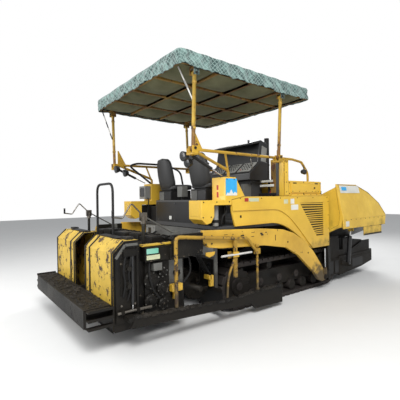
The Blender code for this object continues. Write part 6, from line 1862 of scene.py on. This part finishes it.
    def build_lattice(self) -> None:
        """The lattice of the roof with small crossed ties at its joints."""
        refined("canopy_frame", "canopy_roof", [LATTICE_OCHRE, NET_WRAP],
                lambda c, n: ((np.abs(c[:, 1]) > self.half - 0.07)
                              | (c[:, 0] < self.rear + 0.07)
                              | (c[:, 0] > self.front - 0.07)).astype(int), 0.004, 1)
        across, along = self.bars()
        ties = Shape(LATTICE_OCHRE)
        for x in across.tolist():
            for y in along.tolist():
                ties.box((x - 0.035, y - 0.035, 3.378), (x + 0.035, y + 0.035, 3.388))
        for x in (-1.985, -0.265):
            for s in (-1, 1):
                ties.bolts([(x, s * 1.343, 3.315)], (0, s, 0), 0.018, 0.010, BLACK_PAINT)
        ties.build("lattice_ties", "canopy_roof", "ochre_paint", 0.002)
        stays = Shape(MID_GREY)
        stays.rod((-2.17, -1.20, 3.385), (-1.99, -1.270, 2.96), 0.009, ALUMINIUM, 8)
        stays.rod((-2.10, -1.227, 3.22), (-2.06, -1.243, 3.13), 0.013, PANEL_GREY, 8)
        stays.build("stay_right", "canopy_roof", "ochre_paint")

    def build_posts(self) -> None:
        """Posts with their eyes, gussets, pins and collars."""
        for side in both():
            s = side.value
            for place, x in (("rear", -1.985), ("front", -0.265)):
                node = f"canopy_post_{place}_{side.word}"
                body = f"canopy_{place}_posts"
                refined(node, body, [POST_YELLOW], None, 0.0, 1, 45.0)
                post = Shape(POST_YELLOW)
                lean = (1.295 - 1.245) / (3.315 - 2.36)
                for z in (2.62, 3.20) if place == "rear" else (2.55, 3.22):
                    y = s * (1.245 + lean * (z - 2.36))
                    post.rod((x, y, z - 0.015), (x, y, z + 0.015), 0.031, BOW_OCHRE, 14)
                if place == "rear" and side is Side.LEFT:
                    for share in range(5):
                        a = np.array([x - 0.21, 1.30, 3.384]) * (1 - share / 5) \
                            + np.array([x - 0.03, 1.27, 2.86]) * (share / 5)
                        b = np.array([x - 0.21, 1.30, 3.384]) * (0.8 - share / 5) \
                            + np.array([x - 0.03, 1.27, 2.86]) * (0.2 + share / 5)
                        post.rod(a, b, 0.011, BLACK_PAINT if share % 2 == 0 else ALUMINIUM, 8)
                    post.rod((x - 0.03, 1.27, 2.86), (x, 1.272, 2.86), 0.009, BLACK_PAINT, 8)
                post.build(node + "_fittings", body, "yellow_paint")

    def build_rails(self, side: Side) -> None:
        """The rail, strut and brackets of one side, with lamps, dampers and gussets."""
        s = side.value
        node = "canopy_support_" + side.word
        refined(node, "tractor", [RAIL_YELLOW], None, 0.0, 1, 38.0)
        fit = Shape(RAIL_YELLOW)
        for x in (-1.985, -0.265):
            tall, wide = (0.27, 0.21) if x < -1.0 else (0.12, 0.14)
            fit.plate("xz", [(x + 0.036, 2.335), (x + wide, 2.335), (x + wide, 2.355),
                             (x + 0.055, 2.36 + tall), (x + 0.036, 2.36 + tall)],
                      s * 1.176, s * 1.188)
            fit.bolts([(x, s * 1.291, 2.36)], (0, s, 0), 0.020, 0.012, BLACK_PAINT)
            fit.bolts([(x, s * 1.199, 2.36)], (0, -s, 0), 0.018, 0.010, BLACK_PAINT)
        for x, y, z in ((-2.03, 1.08, 2.27), (-1.90, 0.99, 2.20)):
            self.add_lamp(fit, (x, s * y, z), (-1.0, 0.0, -0.15), 0.068)
            fit.rod((x + 0.05, s * y, z), (x + 0.08, s * 1.16, 2.345), 0.010, BLACK_PAINT, 8)
        self.add_lamp(fit, (0.66, s * 1.09, 2.17), (1.0, s * 0.4, -0.1), 0.050)
        fit.rod((0.63, s * 1.08, 2.17), (0.66, s * 1.08, 2.30), 0.008, BLACK_PAINT, 8)
        fit.rod((-1.93, s * 1.16, 2.27), (-1.60, s * 1.15, 2.12), 0.022, BLACK_PAINT, 12)
        fit.rod((-1.60, s * 1.15, 2.12), (-1.40, s * 1.14, 2.03), 0.010, CHROME, 10)
        fit.box((0.056, s * 0.94, 1.74), (0.062, s * 1.16, 2.33), HOOD_YELLOW)
        fit.box((-0.069, s * 0.915, 1.74), (-0.0655, s * 1.015, 2.32), LATTICE_OCHRE)
        fit.box((-0.073, s * 1.025, 1.74), (-0.0655, s * 1.085, 2.32), DARK_GREY)
        fit.box((-0.068, s * 1.095, 1.74), (-0.0655, s * 1.185, 2.32), HOOD_YELLOW)
        fit.box((-0.05, s * 1.1905, 1.75), (0.045, s * 1.193, 2.30), HOOD_YELLOW)
        fit.bolts(row((-0.005, s * 1.19, 1.80), (-0.005, s * 1.19, 2.30), 4), (0, s, 0), 0.010,
                  0.006, BLACK_PAINT)
        fit.build("rail_fittings_" + side.word, "tractor", "yellow_paint", 0.0015)

    def add_lamp(self, shape: Shape, place: Point, facing: Point, radius: float) -> None:
        """A round work lamp: a turned can with a dark lens."""
        shape.lathe(place, facing, [(-0.075, radius * 0.35), (-0.060, radius * 0.75),
                                    (-0.010, radius * 0.98), (0.0, radius),
                                    (0.012, radius), (0.013, radius * 0.90)], 22, GLOSS_BLACK)
        start = np.array(place, float) + unit(np.array(facing, float)) * 0.0135
        shape.lathe(start, facing, [(-0.002, radius * 0.86), (0.001, radius * 0.86),
                                    (0.004, radius * 0.5)], 22, DARK_GLASS)


# ============================================================================================
# stage
# ============================================================================================


@dataclass
class Studio:
    """A plain pale floor, soft lights, the camera, and a world that only the camera sees white."""

    eye: Point = (-4.535, -4.66, 1.694)
    yaw: float = 0.65995
    pitch: float = -0.00151
    roll: float = -0.01420
    lens: float = 29.62
    ambient: float = 0.52
    sky: tuple[float, float, float, float] = (0.95, 0.97, 1.0, 1.0)
    white: tuple[float, float, float, float] = (1.0, 1.0, 1.0, 1.0)

    def build(self) -> None:
        """Build the floor, the lights and the camera."""
        mesh = bpy.data.meshes.new("floor")
        mesh.from_pydata([(-30, -30, 0), (30, -30, 0), (30, 30, 0), (-30, 30, 0)], [],
                         [(0, 1, 2, 3)])
        mesh.materials.append(FLOOR.material())
        floor = bpy.data.objects.new("floor", mesh)
        bpy.context.scene.collection.objects.link(floor)
        world = bpy.data.worlds.new("studio")
        world.use_nodes = True
        nodes, links = world.node_tree.nodes, world.node_tree.links
        background = nodes["Background"]
        background.inputs["Color"].default_value = self.sky
        background.inputs["Strength"].default_value = self.ambient
        backdrop = nodes.new("ShaderNodeBackground")
        backdrop.inputs["Color"].default_value = self.white
        seen, mixed = nodes.new("ShaderNodeLightPath"), nodes.new("ShaderNodeMixShader")
        links.new(seen.outputs["Is Camera Ray"], mixed.inputs["Fac"])
        links.new(background.outputs["Background"], mixed.inputs[1])
        links.new(backdrop.outputs["Background"], mixed.inputs[2])
        links.new(mixed.outputs["Shader"], nodes["World Output"].inputs["Surface"])
        bpy.context.scene.world = world
        bpy.context.scene.view_settings.view_transform = "Standard"
        self.light("key", (-5.0, -6.5, 7.5), (0.0, 0.0, 1.2), 4.0, 980.0)
        self.light("rim", (6.0, 3.5, 6.5), (0.5, 0.0, 1.0), 5.0, 420.0)
        self.light("fill", (-7.5, 2.5, 3.5), (-1.0, 0.0, 1.0), 4.0, 260.0)
        self.camera()

    def light(self, name: str, place: Point, aim: Point, size: float, power: float) -> None:
        """Add a square soft light that looks at a point."""
        lamp = bpy.data.lights.new(name, "AREA")
        lamp.size, lamp.energy = size, power
        made = bpy.data.objects.new(name, lamp)
        made.location = place
        made.rotation_euler = (Vector(aim) - Vector(place)).to_track_quat("-Z", "Y").to_euler()
        bpy.context.scene.collection.objects.link(made)

    def camera(self) -> None:
        """Aim the camera by its yaw from +Y towards +X, its pitch and its roll."""
        ahead = Vector((math.sin(self.yaw) * math.cos(self.pitch),
                        math.cos(self.yaw) * math.cos(self.pitch), math.sin(self.pitch)))
        right = Vector((math.cos(self.yaw), -math.sin(self.yaw), 0.0))
        over = right.cross(ahead)
        across = right * math.cos(self.roll) + over * math.sin(self.roll)
        above = over * math.cos(self.roll) - right * math.sin(self.roll)
        turn = Matrix((across, above, -ahead)).transposed().to_4x4()
        data = bpy.data.cameras.new("camera")
        data.lens, data.sensor_width = self.lens, 36.0
        camera = bpy.data.objects.new("camera", data)
        camera.matrix_world = Matrix.Translation(Vector(self.eye)) @ turn
        bpy.context.scene.collection.objects.link(camera)
        bpy.context.scene.camera = camera


def main() -> None:
    """Build every sub-assembly in order."""
    logging.basicConfig(level=logging.INFO, format="%(message)s")
    for assembly in (RunningGear(), SideCovers(), Hood(), RearBoxes(), Platform(), Seats(),
                     Console(), TowGear(), Augers(), Hopper(), Screed(), Canopy(), Studio()):
        assembly.build()


if __name__ == "__main__":
    main()
